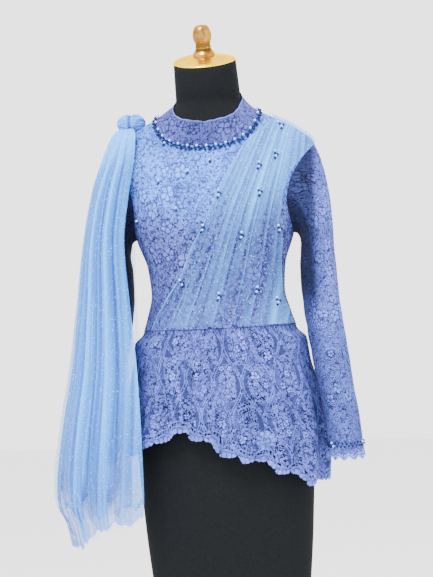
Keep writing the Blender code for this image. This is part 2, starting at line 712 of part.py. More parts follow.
def build_sleeve(name, start, turn, side, sign):
    spins = [k / SLEEVE_AROUND for k in range(SLEEVE_AROUND)]
    middle = []
    for i in range(1, CAP_ROWS + 1):
        t = (i / CAP_ROWS) ** CAP_CROWDING
        row = []
        for spin in spins:
            root, start_way, end, end_way, _ = cap_curve(spin, start, turn, side, sign)
            row.append(hermite(root, start_way, end, end_way, t))
        middle.append(row)
    heights = np.linspace(SLEEVE[0].height, SLEEVE[-1].height, ARM_ROWS + 1)[1:]
    for height in heights:
        middle.append([arm_ring(height, side, sign, spin, CLOTH / 2) for spin in spins])
    inner = []
    outer = []
    first_inner = []
    first_outer = []
    for spin in spins:
        angle, height = armhole_spot(spin, start, turn)
        into = cap_curve(spin, start, turn, side, sign)[-1]
        first_inner.append(garment_point(angle, height) + into * SLEEVE_SEAM)
        first_outer.append(garment_point(angle, height, CLOTH) + into * SLEEVE_SEAM)
    inner.append(first_inner)
    outer.append(first_outer)
    for i, row in enumerate(middle):
        centre = sum(row) / len(row)
        inner_row = []
        outer_row = []
        for k, point in enumerate(row):
            around = row[(k + 1) % len(row)] - row[k - 1]
            above = middle[i - 1][k] if i else (first_inner[k] + first_outer[k]) / 2
            below = middle[i + 1][k] if i + 1 < len(middle) else point + (point - above)
            normal = unit(np.cross(around, below - above))
            if np.dot(normal, point - centre) < 0:
                normal = -normal
            inner_row.append(point - normal * CLOTH / 2)
            outer_row.append(point + normal * CLOTH / 2)
        inner.append(inner_row)
        outer.append(outer_row)
    wall(name, inner, outer, LACE, closed=True)


def build_cuff_trim(name, side, sign):
    """Scalloped lace edge below the cuff."""
    steps = SLEEVE_AROUND * 2
    bottom = SLEEVE[-1].height
    inner = [[], []]
    outer = [[], []]
    for k in range(steps):
        spin = k / steps
        rise = CUFF_SCALLOP_RISE * (0.5 + 0.5 * math.cos(2 * math.pi * spin * CUFF_SCALLOPS))
        for row, drop in ((0, 2 * SEAM_GAP), (1, CUFF_TRIM - rise)):
            flare = CUFF_FLARE * row
            shift = drop * np.array([sign * CUFF_LEAN[0], CUFF_LEAN[1], -1.0])
            inner[row].append(arm_ring(bottom, side, sign, spin, flare) + shift)
            outer[row].append(arm_ring(bottom, side, sign, spin, flare + CLOTH) + shift)
    wall(name, inner, outer, LACE, closed=True)


# ---------------------------------------------------------------- peplum

def hem_height(angle):
    angle = angle % 360
    scallop = abs(math.sin(math.pi * angle * SCALLOPS / 360))
    return column(HEM, "height", angle) - SCALLOP_DROP * scallop


def peplum_point(angle, height, out):
    turn = math.radians(angle)
    across = math.cos(turn)
    forward = math.sin(turn)
    width = column(PEPLUM, "half_width", height)
    if forward >= 0:
        depth = PEPLUM_SIDE_Y - column(PEPLUM, "front", height)
    else:
        depth = column(PEPLUM, "back", height) - PEPLUM_SIDE_Y
    power = abs(across / width) ** SQUARENESS + abs(forward / depth) ** SQUARENESS
    reach = power ** (-1.0 / SQUARENESS)
    fall = min(max((WAIST - height) / FLUTE_FALL, 0.0), 1.0)
    wave = math.sin(turn * FLUTES + FLUTE_DRIFT * math.sin(turn * FLUTE_DRIFTS))
    depth_share = 1.0 - FLUTE_UNEVEN * (1.0 - math.sin(turn * FLUTE_CHANGES + 1.0))
    reach += FLUTE_DEPTH * fall * wave * depth_share + out
    flared = np.array([reach * across, PEPLUM_SIDE_Y - reach * forward, height])
    sewn = garment_point(angle, WAIST, out)
    sewn[2] = height
    return mix(sewn, flared, smooth_step((WAIST - SEAM_GAP - height) / PEPLUM_TURN))


def peplum_grid(start, end, columns, out):
    rows = []
    for i in range(PEPLUM_ROWS + 1):
        row = []
        for j in range(columns + 1):
            angle = mix(start, end, j / columns)
            top = WAIST - SEAM_GAP
            height = mix(top, hem_height(angle), (i / PEPLUM_ROWS) ** PEPLUM_CROWDING)
            row.append(peplum_point(angle, height, out))
        rows.append(row)
    return rows


def lace_gaps(columns):
    """The largest gap of each lace repeat: staggered rows above the hem, one every third column."""
    holes = set()
    for row, shift in ((2, 0), (3, 1), (4, 2)):
        for j in range(1 + shift, columns - 1, 3):
            holes.add((row, j))
    return holes


def build_peplum():
    panels = (
        ("peplum_front", 0, 180, PEPLUM_FRONT_COLUMNS),
        ("peplum_back_right", 180, 270, PEPLUM_FRONT_COLUMNS // 2),
        ("peplum_back_left", 270, 360, PEPLUM_FRONT_COLUMNS // 2),
    )
    for name, start, end, columns in panels:
        inner = peplum_grid(start + PEPLUM_MARGIN, end - PEPLUM_MARGIN, columns, 0.0)
        outer = peplum_grid(start + PEPLUM_MARGIN, end - PEPLUM_MARGIN, columns, CLOTH)
        wall(name, inner, outer, LACE, holes=lace_gaps(columns))


# ---------------------------------------------------------------- pleated drape

def build_front_drape():
    lift = CLOTH + LAY_GAP
    edge = [np.array([angle_at(spot.x, spot.height, lift), spot.height]) for spot in DRAPE_EDGE]
    edge.insert(0, np.array([DRAPE_SIDE[-1].angle, DRAPE_TOP]))
    lengths = [0.0]
    for before, after in zip(edge, edge[1:]):
        gap = np.linalg.norm(garment_point(*after) - garment_point(*before))
        lengths.append(lengths[-1] + gap)
    shares = [length / lengths[-1] for length in lengths]

    def free_edge(v):
        angle = smooth_table(shares, [spot[0] for spot in edge], v)
        height = smooth_table(shares, [spot[1] for spot in edge], v)
        return np.array([angle, height])

    def seam_edge(v):
        height = mix(DRAPE_SIDE[-1].height, DRAPE_FOOT, v)
        return np.array([column(DRAPE_SIDE, "angle", height), height])

    def across(start, end):
        return lambda u: mix(start, end, u)

    columns = DRAPE_PLEATS * 2
    shoulder_edge = across(free_edge(0.0), seam_edge(0.0))
    waist_edge = across(free_edge(1.0), seam_edge(1.0))
    grid = coons(shoulder_edge, waist_edge, free_edge, seam_edge, columns, DRAPE_ROWS)
    inner = []
    outer = []
    for i, row in enumerate(grid):
        depth = mix(PLEAT_TOP, PLEAT_BOTTOM, i / DRAPE_ROWS)
        inner_row = []
        outer_row = []
        for j, spot in enumerate(row):
            pleat = depth * (j % 2)
            hump = DRAPE_HUMP * mix(*DRAPE_HUMP_ENDS, (j / columns) ** 3)
            rise = lift + hump * smooth_step(1.0 - DRAPE_HUMP_REACH * i / DRAPE_ROWS)
            inner_row.append(garment_point(*spot, rise + pleat))
            outer_row.append(garment_point(*spot, rise + pleat + TULLE))
        inner.append(inner_row)
        outer.append(outer_row)
    wall("front_drape", inner, outer, TULLE_FINISH)


# ---------------------------------------------------------------- hanging tulle and pompom

def fall_point(share, height):
    """Middle line of the hanging tulle; share runs from its front edge (0) over the outside to the back (1)."""
    front = np.array([column(TULLE_FALL, "front_x", height), column(TULLE_FALL, "front_y", height)])
    back = np.array([column(TULLE_FALL, "back_x", height), column(TULLE_FALL, "back_y", height)])
    outer_x = column(TULLE_FALL, "outer_x", height)
    middle = (front + back) / 2
    half = (front - back) / 2
    bow = (outer_x - middle[0]) * math.sin(math.pi * share) ** TULLE_SQUARENESS
    spot = middle + half * math.cos(math.pi * share)
    return np.array([spot[0] + bow, spot[1], height])


def tulle_point(share, height, out):
    middle = fall_point(share, height)
    ahead = fall_point(min(share + TULLE_STEP, 1.0), height)
    behind = fall_point(max(share - TULLE_STEP, 0.0), height)
    along = ahead - behind
    normal = unit(np.array([-along[1], along[0], 0.0]))
    outward = np.array([-1.0, 0.0, 0.0])
    if share <= TULLE_ENDS[0]:
        outward = np.array([0.0, -1.0, 0.0])
    if share >= TULLE_ENDS[1]:
        outward = np.array([0.0, 1.0, 0.0])
    if np.dot(normal, outward) < 0:
        normal = -normal
    depth = column(TULLE_FALL, "fold", height)
    wave = math.sin(math.pi * 2 * TULLE_FOLDS * 2 * share)
    return middle + normal * (depth * wave + out)


def build_tulle():
    top = TULLE_FALL[0].height
    columns = TULLE_FOLDS * TULLE_STEPS
    for name, start, end in TULLE_PARTS:
        inner = []
        outer = []
        for i in range(TULLE_ROWS + 1):
            inner_row = []
            outer_row = []
            for j in range(columns + 1):
                share = mix(start, end, j / columns)
                bottom = column(TULLE_HEM, "height", share)
                height = mix(top, bottom, (i / TULLE_ROWS) ** TULLE_CROWDING)
                inner_row.append(tulle_point(share, height, -TULLE / 2))
                outer_row.append(tulle_point(share, height, TULLE / 2))
            inner.append(inner_row)
            outer.append(outer_row)
        wall(name, inner, outer, TULLE_FINISH)


def build_pompom():
    """Gathered tulle tied into two ruffled lobes, with a groove between them."""
    around = POMPOM_AROUND
    points = []
    for i in range(1, POMPOM_RINGS):
        polar = math.pi * i / POMPOM_RINGS
        for k in range(around):
            turn = 2 * math.pi * k / around
            ruffle = POMPOM_RUFFLE * math.cos(turn * POMPOM_RUFFLES) * math.sin(polar)
            groove = POMPOM_GROOVE * math.exp(-(math.cos(turn) * math.sin(polar) / POMPOM_GROOVE) ** 2)
            swell = 1.0 - groove
            x = (POMPOM_SIZE[0] * swell + ruffle) * math.sin(polar) * math.cos(turn)
            y = (POMPOM_SIZE[1] * swell + ruffle) * math.sin(polar) * math.sin(turn)
            z = POMPOM_SIZE[2] * swell * math.cos(polar)
            points.append(np.array(POMPOM) + np.array([x, y, z]))
    top = len(points)
    points.append(np.array(POMPOM) + np.array([0.0, 0.0, POMPOM_SIZE[2] * POMPOM_POLE]))
    bottom = len(points)
    points.append(np.array(POMPOM) - np.array([0.0, 0.0, POMPOM_SIZE[2] * POMPOM_POLE]))
    faces = []
    for i in range(POMPOM_RINGS - 2):
        for k in range(around):
            m = (k + 1) % around
            faces.append((i * around + k, (i + 1) * around + k, (i + 1) * around + m, i * around + m))
    last = (POMPOM_RINGS - 2) * around
    for k in range(around):
        m = (k + 1) % around
        faces.append((top, k, m))
        faces.append((bottom, last + m, last + k))
    add_object("pompom", points, orient(points, faces), TULLE_FINISH)


# ---------------------------------------------------------------- dress form and stand

def build_form():
    heights = [TORSO_BOTTOM] + FORM_ROWS + [NECK_TOP]
    points = []
    for height in heights:
        for k in range(FORM_AROUND):
            points.append(form_point(360.0 * k / FORM_AROUND, height))
    faces = []
    for i in range(len(heights) - 1):
        for k in range(FORM_AROUND):
            m = (k + 1) % FORM_AROUND
            row = i * FORM_AROUND
            faces.append((row + k, row + m, row + FORM_AROUND + m, row + FORM_AROUND + k))
    last = (len(heights) - 1) * FORM_AROUND
    faces.append(tuple(range(FORM_AROUND - 1, -1, -1)))
    faces.append(tuple(last + k for k in range(FORM_AROUND)))
    add_object("form_torso", points, orient(points, faces), FORM_CLOTH)


def build_cap_and_finial():
    axis = np.array([0.0, -math.sin(NECK_LEAN), math.cos(NECK_LEAN)])
    neck_middle = (form_point(90.0, NECK_TOP) + form_point(270.0, NECK_TOP)) / 2
    seat = neck_middle + axis * SEAM_GAP
    lathe("neck_cap", CAP_PROFILE, seat, NECK_LEAN, GOLD)
    foot = seat + axis * (CAP_PROFILE[-1].height + SEAM_GAP)
    lathe("finial", FINIAL_PROFILE, foot, NECK_LEAN, GOLD)


def build_stand():
    lathe("stand_base", BASE_PROFILE, (0.0, 0.0, 0.0), 0.0, STEEL)
    base_top = BASE_PROFILE[-1].height
    length = TORSO_BOTTOM - base_top - 2 * SEAM_GAP
    pole = [Turn(POLE_RADIUS, 0.0), Turn(POLE_RADIUS, length)]
    lathe("stand_pole", pole, (0.0, 0.0, base_top + SEAM_GAP), 0.0, STEEL)


def build():
    build_form()
    build_cap_and_finial()
    build_stand()
    build_bodice()
    build_collar()
    for name, start, turn, side, sign in (
        ("left", 0.0, 1.0, "left_x", 1.0),
        ("right", 180.0, -1.0, "right_x", -1.0),
    ):
        build_sleeve("sleeve_" + name, start, turn, side, sign)
        build_cuff_trim("cuff_trim_" + name, side, sign)
    build_peplum()
    build_front_drape()
    build_tulle()
    build_pompom()


build()
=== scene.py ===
import math

import bpy
import mathutils
import numpy as np
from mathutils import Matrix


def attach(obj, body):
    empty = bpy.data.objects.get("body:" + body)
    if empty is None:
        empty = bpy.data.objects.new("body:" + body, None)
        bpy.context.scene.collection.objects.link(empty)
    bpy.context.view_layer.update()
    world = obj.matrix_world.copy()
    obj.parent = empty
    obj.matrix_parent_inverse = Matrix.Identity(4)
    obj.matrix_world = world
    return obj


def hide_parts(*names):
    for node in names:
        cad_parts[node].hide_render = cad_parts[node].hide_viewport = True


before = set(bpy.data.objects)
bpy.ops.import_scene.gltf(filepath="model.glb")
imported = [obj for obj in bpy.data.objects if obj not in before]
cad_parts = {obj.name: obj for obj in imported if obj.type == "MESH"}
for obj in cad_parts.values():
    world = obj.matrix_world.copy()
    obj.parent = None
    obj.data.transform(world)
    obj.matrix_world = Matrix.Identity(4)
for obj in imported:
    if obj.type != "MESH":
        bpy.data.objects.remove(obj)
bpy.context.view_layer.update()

print("frame loaded with", len(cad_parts), "nodes")


def linear(hexCode):
    # an sRGB hex colour as linear red, green, blue and alpha
    channels = [int(hexCode[k:k + 2], 16) / 255 for k in (1, 3, 5)]
    return tuple(c / 12.92 if c <= 0.04045 else ((c + 0.055) / 1.055) ** 2.4 for c in channels) + (1.0,)


def feed(tree, node, inputs):
    # sets inputs by name or in order, from plain values, sockets or the first outputs of other nodes
    named = inputs if isinstance(inputs, dict) else dict(enumerate(inputs))
    for socket, value in named.items():
        source = value.outputs[0] if isinstance(value, bpy.types.Node) else value
        if isinstance(source, bpy.types.NodeSocket):
            tree.links.new(source, node.inputs[socket])
        else:
            node.inputs[socket].default_value = source


def addNode(tree, kind, inputs=(), stops=(), **settings):
    # a node with its settings and links; stops are the places and hex colours along a ramp
    node = tree.nodes.new(kind)
    for name, value in settings.items():
        setattr(node, name, value)
    feed(tree, node, inputs)
    if stops:
        elements = node.color_ramp.elements
        while len(elements) < len(stops):
            elements.new(0.5)
        for element, (place, hexCode) in zip(elements, stops):
            element.position = place
            element.color = linear(hexCode)
    return node


def newMaterial(name, fixed):
    material = bpy.data.materials.new(name)
    material.use_nodes = True
    tree = material.node_tree
    shader = tree.nodes["Principled BSDF"]
    feed(tree, shader, fixed)
    return material, tree, shader


def curveThrough(xs, ys, x):
    # smooth between the rows of a table, without overshooting them
    xs = np.asarray(xs, float)
    ys = np.asarray(ys, float)
    x = np.clip(np.asarray(x, float), xs[0], xs[-1])
    step = np.diff(xs)
    slope = np.diff(ys) / step
    total = slope[:-1] + slope[1:]
    product = slope[:-1] * slope[1:]
    middle = np.where(product > 0, 2 * product / np.where(total == 0, 1, total), 0)
    tangent = np.concatenate([[slope[0]], middle, [slope[-1]]])
    i = np.clip(np.searchsorted(xs, x) - 1, 0, len(xs) - 2)
    t = (x - xs[i]) / step[i]
    start = ys[i] * (1 + 2 * t) * (1 - t) ** 2 + step[i] * tangent[i] * t * (1 - t) ** 2
    return start + ys[i + 1] * t * t * (3 - 2 * t) + step[i] * tangent[i + 1] * t * t * (t - 1)


def smoothStep(t):
    t = np.clip(t, 0, 1)
    return t * t * (3 - 2 * t)


def blendTo(a, b, t):
    return a * (1 - t) + b * t


def unitRows(vectors):
    return vectors / np.maximum(np.linalg.norm(vectors, axis=-1, keepdims=True), 1e-12)


def gridNormals(points, closed=False):
    # square to a grid of points, one for each point
    if closed:
        along = np.roll(points, -1, axis=1) - np.roll(points, 1, axis=1)
    else:
        along = np.gradient(points, axis=1)
    return unitRows(np.cross(along, np.gradient(points, axis=0)))


def addPiece(name, mesh, material):
    mesh.materials.append(material)
    piece = bpy.data.objects.new(name, mesh)
    bpy.context.scene.collection.objects.link(piece)
    return piece


def meshFromGrid(name, points, material, attributes=None, closed=False, outward=None, place=None, wrap=0.0):
    # place is each point's flat position on the cloth, in metres; wrap is the flat length round a closed grid
    rows, columns = points.shape[:2]
    spans = columns if closed else columns - 1
    i, j = np.meshgrid(np.arange(rows - 1), np.arange(spans), indexing="ij")
    k = (j + 1) % columns
    quads = np.stack([i * columns + j, i * columns + k, (i + 1) * columns + k, (i + 1) * columns + j], -1)
    corners = np.zeros(quads.shape + (3,))
    if place is not None:
        corners[..., :2] = place.reshape(-1, 2)[quads]
        if closed:
            corners[:, -1, 1:3, 0] += wrap
    if outward is not None and np.sum(gridNormals(points, closed) * outward) < 0:
        quads = quads[..., ::-1]
        corners = corners[..., ::-1, :]
    quads = quads.reshape(-1, 4)
    mesh = bpy.data.meshes.new(name)
    mesh.vertices.add(rows * columns)
    mesh.vertices.foreach_set("co", points.reshape(-1).astype(np.float32))
    mesh.loops.add(quads.size)
    mesh.loops.foreach_set("vertex_index", quads.reshape(-1).astype(np.int32))
    mesh.polygons.add(len(quads))
    mesh.polygons.foreach_set("loop_start", np.arange(0, quads.size, 4, dtype=np.int32))
    mesh.update(calc_edges=True)
    for label, values in (attributes or {}).items():
        layer = mesh.attributes.new(label, "FLOAT", "POINT")
        spread = np.broadcast_to(values, (rows, columns)).reshape(-1)
        layer.data.foreach_set("value", spread.astype(np.float32))
    if place is not None:
        layer = mesh.attributes.new("place", "FLOAT_VECTOR", "CORNER")
        layer.data.foreach_set("vector", corners.reshape(-1).astype(np.float32))
    mesh.shade_smooth()
    return addPiece(name, mesh, material)


def surfaceLength(points, axis):
    # running length along the grid's rows or columns, in metres
    step = np.linalg.norm(np.diff(points, axis=axis), axis=-1)
    start = np.zeros_like(np.take(step, [0], axis=axis))
    return np.cumsum(np.concatenate([start, step], axis=axis), axis=axis)


# dress form: its outline by height, and the room that the cloth keeps from it, in metres
body = {
    "height": [0.470, 0.620, 0.780, 0.880, 0.970, 1.015, 1.060, 1.110, 1.165, 1.210, 1.260, 1.300,
               1.3335, 1.3515, 1.374, 1.389, 1.400, 1.420, 1.450, 1.494],
    "halfWidth": [0.146, 0.160, 0.168, 0.160, 0.1455, 0.1315, 0.1210, 0.125, 0.143, 0.151, 0.165, 0.180,
                  0.188, 0.169, 0.133, 0.101, 0.081, 0.0615, 0.0600, 0.0580],
    "front": [-0.096, -0.106, -0.112, -0.110, -0.101, -0.095, -0.090, -0.098, -0.108, -0.110, -0.101,
              -0.088, -0.073, -0.069, -0.066, -0.065, -0.066, -0.069, -0.079, -0.091],
    "side": [0.004, 0.004, 0.004, 0.004, 0.004, 0.003, 0.002, 0.0, 0.0, 0.004, 0.010, 0.014, 0.017,
             0.017, 0.014, 0.010, 0.005, -0.003, -0.014, -0.031],
    "back": [0.106, 0.114, 0.120, 0.114, 0.096, 0.086, 0.078, 0.082, 0.092, 0.098, 0.104, 0.106, 0.101,
             0.092, 0.080, 0.070, 0.064, 0.056, 0.046, 0.028],
    "squareness": 2.2,
    "bust": {"x": 0.078, "height": 1.200, "forward": 0.016, "width": 0.045, "length": 0.052},
    "neckLean": math.radians(21), "leanStart": 1.385, "neckTop": 1.493,
    "easeHeight": [0.90, 1.28, 1.33, 1.45], "ease": [0.0045, 0.0045, 0.0036, 0.0034],
}
cloth = 0.0015
waist = 0.994


def bodyColumn(name, height):
    return curveThrough(body["height"], body[name], height)


def formSurface(angle, height):
    # angle in degrees: 0 the wearer's left, 90 the front, 180 the right, 270 the back
    angle, height = np.broadcast_arrays(np.asarray(angle, float), np.asarray(height, float))
    across = np.cos(np.radians(angle))
    forward = np.sin(np.radians(angle))
    side = bodyColumn("side", height)
    depth = np.where(forward >= 0, side - bodyColumn("front", height), bodyColumn("back", height) - side)
    square = body["squareness"]
    width = bodyColumn("halfWidth", height)
    reach = (abs(across / width) ** square + abs(forward / depth) ** square) ** (-1 / square)
    x = reach * across
    y = -reach * forward
    rise = smoothStep((height - body["leanStart"]) / (body["neckTop"] - body["leanStart"]))
    z = height + math.tan(body["neckLean"]) * rise * y
    bust = body["bust"]
    low = np.exp(-((height - bust["height"]) / bust["length"]) ** 2 / 2)
    left = np.exp(-((x - bust["x"]) / bust["width"]) ** 2 / 2)
    right = np.exp(-((x + bust["x"]) / bust["width"]) ** 2 / 2)
    y = y - bust["forward"] * low * (left + right) * np.clip(forward * 2.5, 0, 1)
    return np.stack([x, side + y, z], -1)


def formNormal(angle, height):
    turn = formSurface(angle + 0.5, height) - formSurface(angle - 0.5, height)
    rise = formSurface(angle, height + 0.0005) - formSurface(angle, height - 0.0005)
    return unitRows(np.cross(rise, turn))


def clothSurface(angle, height, out=cloth):
    angle, height = np.broadcast_arrays(np.asarray(angle, float), np.asarray(height, float))
    room = curveThrough(body["easeHeight"], body["ease"], height) + out
    normal = formNormal(angle, height)
    level = unitRows(normal * np.array([1.0, 1.0, 0.0]))
    share = smoothStep((height - 1.10) / 0.18)[..., None]
    way = unitRows(blendTo(level, normal, share))
    return formSurface(angle, height) + way * (room / np.sum(way * normal, -1))[..., None]


def angleAtX(x, height, out=cloth):
    # the front angle whose cloth point has that x
    low = np.full(np.shape(x), 2.0)
    high = np.full(np.shape(x), 178.0)
    for _ in range(24):
        middle = (low + high) / 2
        beyond = clothSurface(middle, height, out)[..., 0] > x
        low = np.where(beyond, middle, low)
        high = np.where(beyond, high, middle)
    return (low + high) / 2


print("body surface ready")


# lace is drawn as fields over the flat cloth, in millimetres; this table holds every chance value used below
seeded = np.random.default_rng(11)
chance = seeded.random((97, 89, 5))


def chanceAt(column, row, which):
    return chance[np.mod(column, chance.shape[0]), np.mod(row, chance.shape[1]), which]


def cellField(u, v, size, jitter, shift):
    # nearest of scattered points: its distance, the way to it and its own random value
    u = u / size + 0.37 * shift
    v = v / size + 0.61 * shift
    column = np.floor(u).astype(int)
    row = np.floor(v).astype(int)
    first = np.full(u.shape, 9.0)
    wayU = np.zeros(u.shape)
    wayV = np.zeros(u.shape)
    pick = np.zeros(u.shape)
    spin = np.zeros(u.shape)
    for i in (-1, 0, 1):
        for j in (-1, 0, 1):
            c = column + i
            r = row + j
            du = u - (c + 0.5 + jitter * (chanceAt(c + 7 * shift, r, 0) - 0.5))
            dv = v - (r + 0.5 + jitter * (chanceAt(c + 7 * shift, r, 1) - 0.5))
            distance = np.hypot(du, dv)
            nearer = distance < first
            wayU = np.where(nearer, du, wayU)
            wayV = np.where(nearer, dv, wayV)
            pick = np.where(nearer, chanceAt(c + 7 * shift, r, 2), pick)
            spin = np.where(nearer, chanceAt(c + 7 * shift, r, 3), spin)
            first = np.where(nearer, distance, first)
    return {"first": first * size, "turn": np.arctan2(wayV, wayU) + 6.28 * spin, "pick": pick}


def soft(edge, value, width):
    # 1 where value is under edge, fading over width
    return smoothStep((edge - value) / width + 0.5)


def waver(u, v, size, amount):
    # bends coordinates slightly, as hand-guided cord wanders
    return (u + amount * np.sin(v / size + 1.7 * np.sin(u / size / 1.9)),
            v + amount * np.sin(u / size * 1.13 + 1.3 * np.sin(v / size / 1.7)))


def petalWave(cell, petals):
    # 1 along the middle of each petal of a flower, 0 between two of them
    return np.abs(np.cos(petals / 2 * cell["turn"]))


def petalReach(cell, petals, radius, notch):
    # how far a flower's scalloped edge lies from its middle
    return radius * (1 - notch + notch * petalWave(cell, petals))


def petalLines(cell, petals, radius, notch):
    # dark lines between a flower's petals, left out at its eye
    inside = soft(petalReach(cell, petals, radius, notch), cell["first"], 1.0)
    parting = soft(0.30, petalWave(cell, petals), 0.3) * inside
    eye = soft(radius * 0.24, cell["first"], 1.2)
    return np.maximum(parting * (1 - eye), 0)


def cordLine(distance, width):
    # raised cord with a shadow line beside it: height and cover
    return soft(width / 2, distance, 0.9), soft(width / 2 + 1.1, distance, 1.0)


def ogeeDistance(u, v, width, height, bend):
    # distances to the two nearest of the waved cords that part and meet in tall pointed frames
    gap = width / 2
    near = []
    for parity in (0, 1):
        way = 1 - 2 * parity
        place = (u + bend * v - parity * gap - way * gap / 2 * np.sin(2 * np.pi * v / height)) / width
        slope = way * np.pi * gap / height * np.cos(2 * np.pi * v / height) - bend
        near.append(np.abs(place - np.round(place)) * width / np.sqrt(1 + slope ** 2))
    return np.minimum(*near), np.maximum(*near)


print("lace fields ready")


def under(tree, edge, value, width):
    # 1 where value is under edge, fading over width
    room = addNode(tree, "ShaderNodeMath", (edge, value), operation="SUBTRACT")
    return addNode(tree, "ShaderNodeMath", (room, 1 / width, 0.5), operation="MULTIPLY_ADD", use_clamp=True)


def drawnBlossoms(tree, place, sizeMm, petals, radius, share):
    # flowers of filled petals with dark lines between them; sizes are shares of the repeat
    cells = addNode(tree, "ShaderNodeTexVoronoi", {
        "Vector": place, "Scale": 1000 / sizeMm, "Randomness": 0.75}, voronoi_dimensions="2D").outputs
    local = addNode(tree, "ShaderNodeVectorMath", (place, cells["Position"]), operation="SUBTRACT")
    parts = addNode(tree, "ShaderNodeSeparateXYZ", (local,)).outputs
    own = addNode(tree, "ShaderNodeSeparateColor", (cells["Color"],)).outputs
    around = addNode(tree, "ShaderNodeMath", (parts[1], parts[0]), operation="ARCTAN2")
    turn = addNode(tree, "ShaderNodeMath", (around, petals / 2), operation="MULTIPLY")
    spun = addNode(tree, "ShaderNodeMath", (own[1], 3.14, turn), operation="MULTIPLY_ADD")
    lobes = addNode(tree, "ShaderNodeMath", (spun,), operation="COSINE")
    wave = addNode(tree, "ShaderNodeMath", (lobes,), operation="ABSOLUTE")
    away = cells["Distance"]
    shown = addNode(tree, "ShaderNodeMath", (own[0], share), operation="LESS_THAN")
    whole = addNode(tree, "ShaderNodeMath", (own[2], radius * 0.5, radius * 0.65), operation="MULTIPLY_ADD")
    lobed = addNode(tree, "ShaderNodeMath", (wave, 0.36, 0.64), operation="MULTIPLY_ADD")
    reach = addNode(tree, "ShaderNodeMath", (whole, lobed), operation="MULTIPLY")
    fill = addNode(tree, "ShaderNodeMath", (under(tree, reach, away, 0.09), shown), operation="MULTIPLY")
    parting = addNode(tree, "ShaderNodeMath", (under(tree, 0.26, wave, 0.3), fill), operation="MULTIPLY")
    middle = under(tree, radius * 0.22, away, 0.08)
    eye = addNode(tree, "ShaderNodeMath", (middle, fill), operation="MULTIPLY")
    wider = addNode(tree, "ShaderNodeMath", (reach, 0.08), operation="ADD")
    outer = addNode(tree, "ShaderNodeMath", (under(tree, wider, away, 0.08), shown), operation="MULTIPLY")
    rim = addNode(tree, "ShaderNodeMath", (outer, fill), operation="SUBTRACT", use_clamp=True)
    dimEye = addNode(tree, "ShaderNodeMath", (eye, 0.8), operation="MULTIPLY")
    line = addNode(tree, "ShaderNodeMath", (parting, dimEye), operation="MAXIMUM")
    return fill, line, rim


def contourLines(tree, value, width):
    # thin curls where a smooth field passes its middle
    offset = addNode(tree, "ShaderNodeMath", (value, 0.5), operation="SUBTRACT")
    away = addNode(tree, "ShaderNodeMath", (offset,), operation="ABSOLUTE")
    return under(tree, width, away, width)


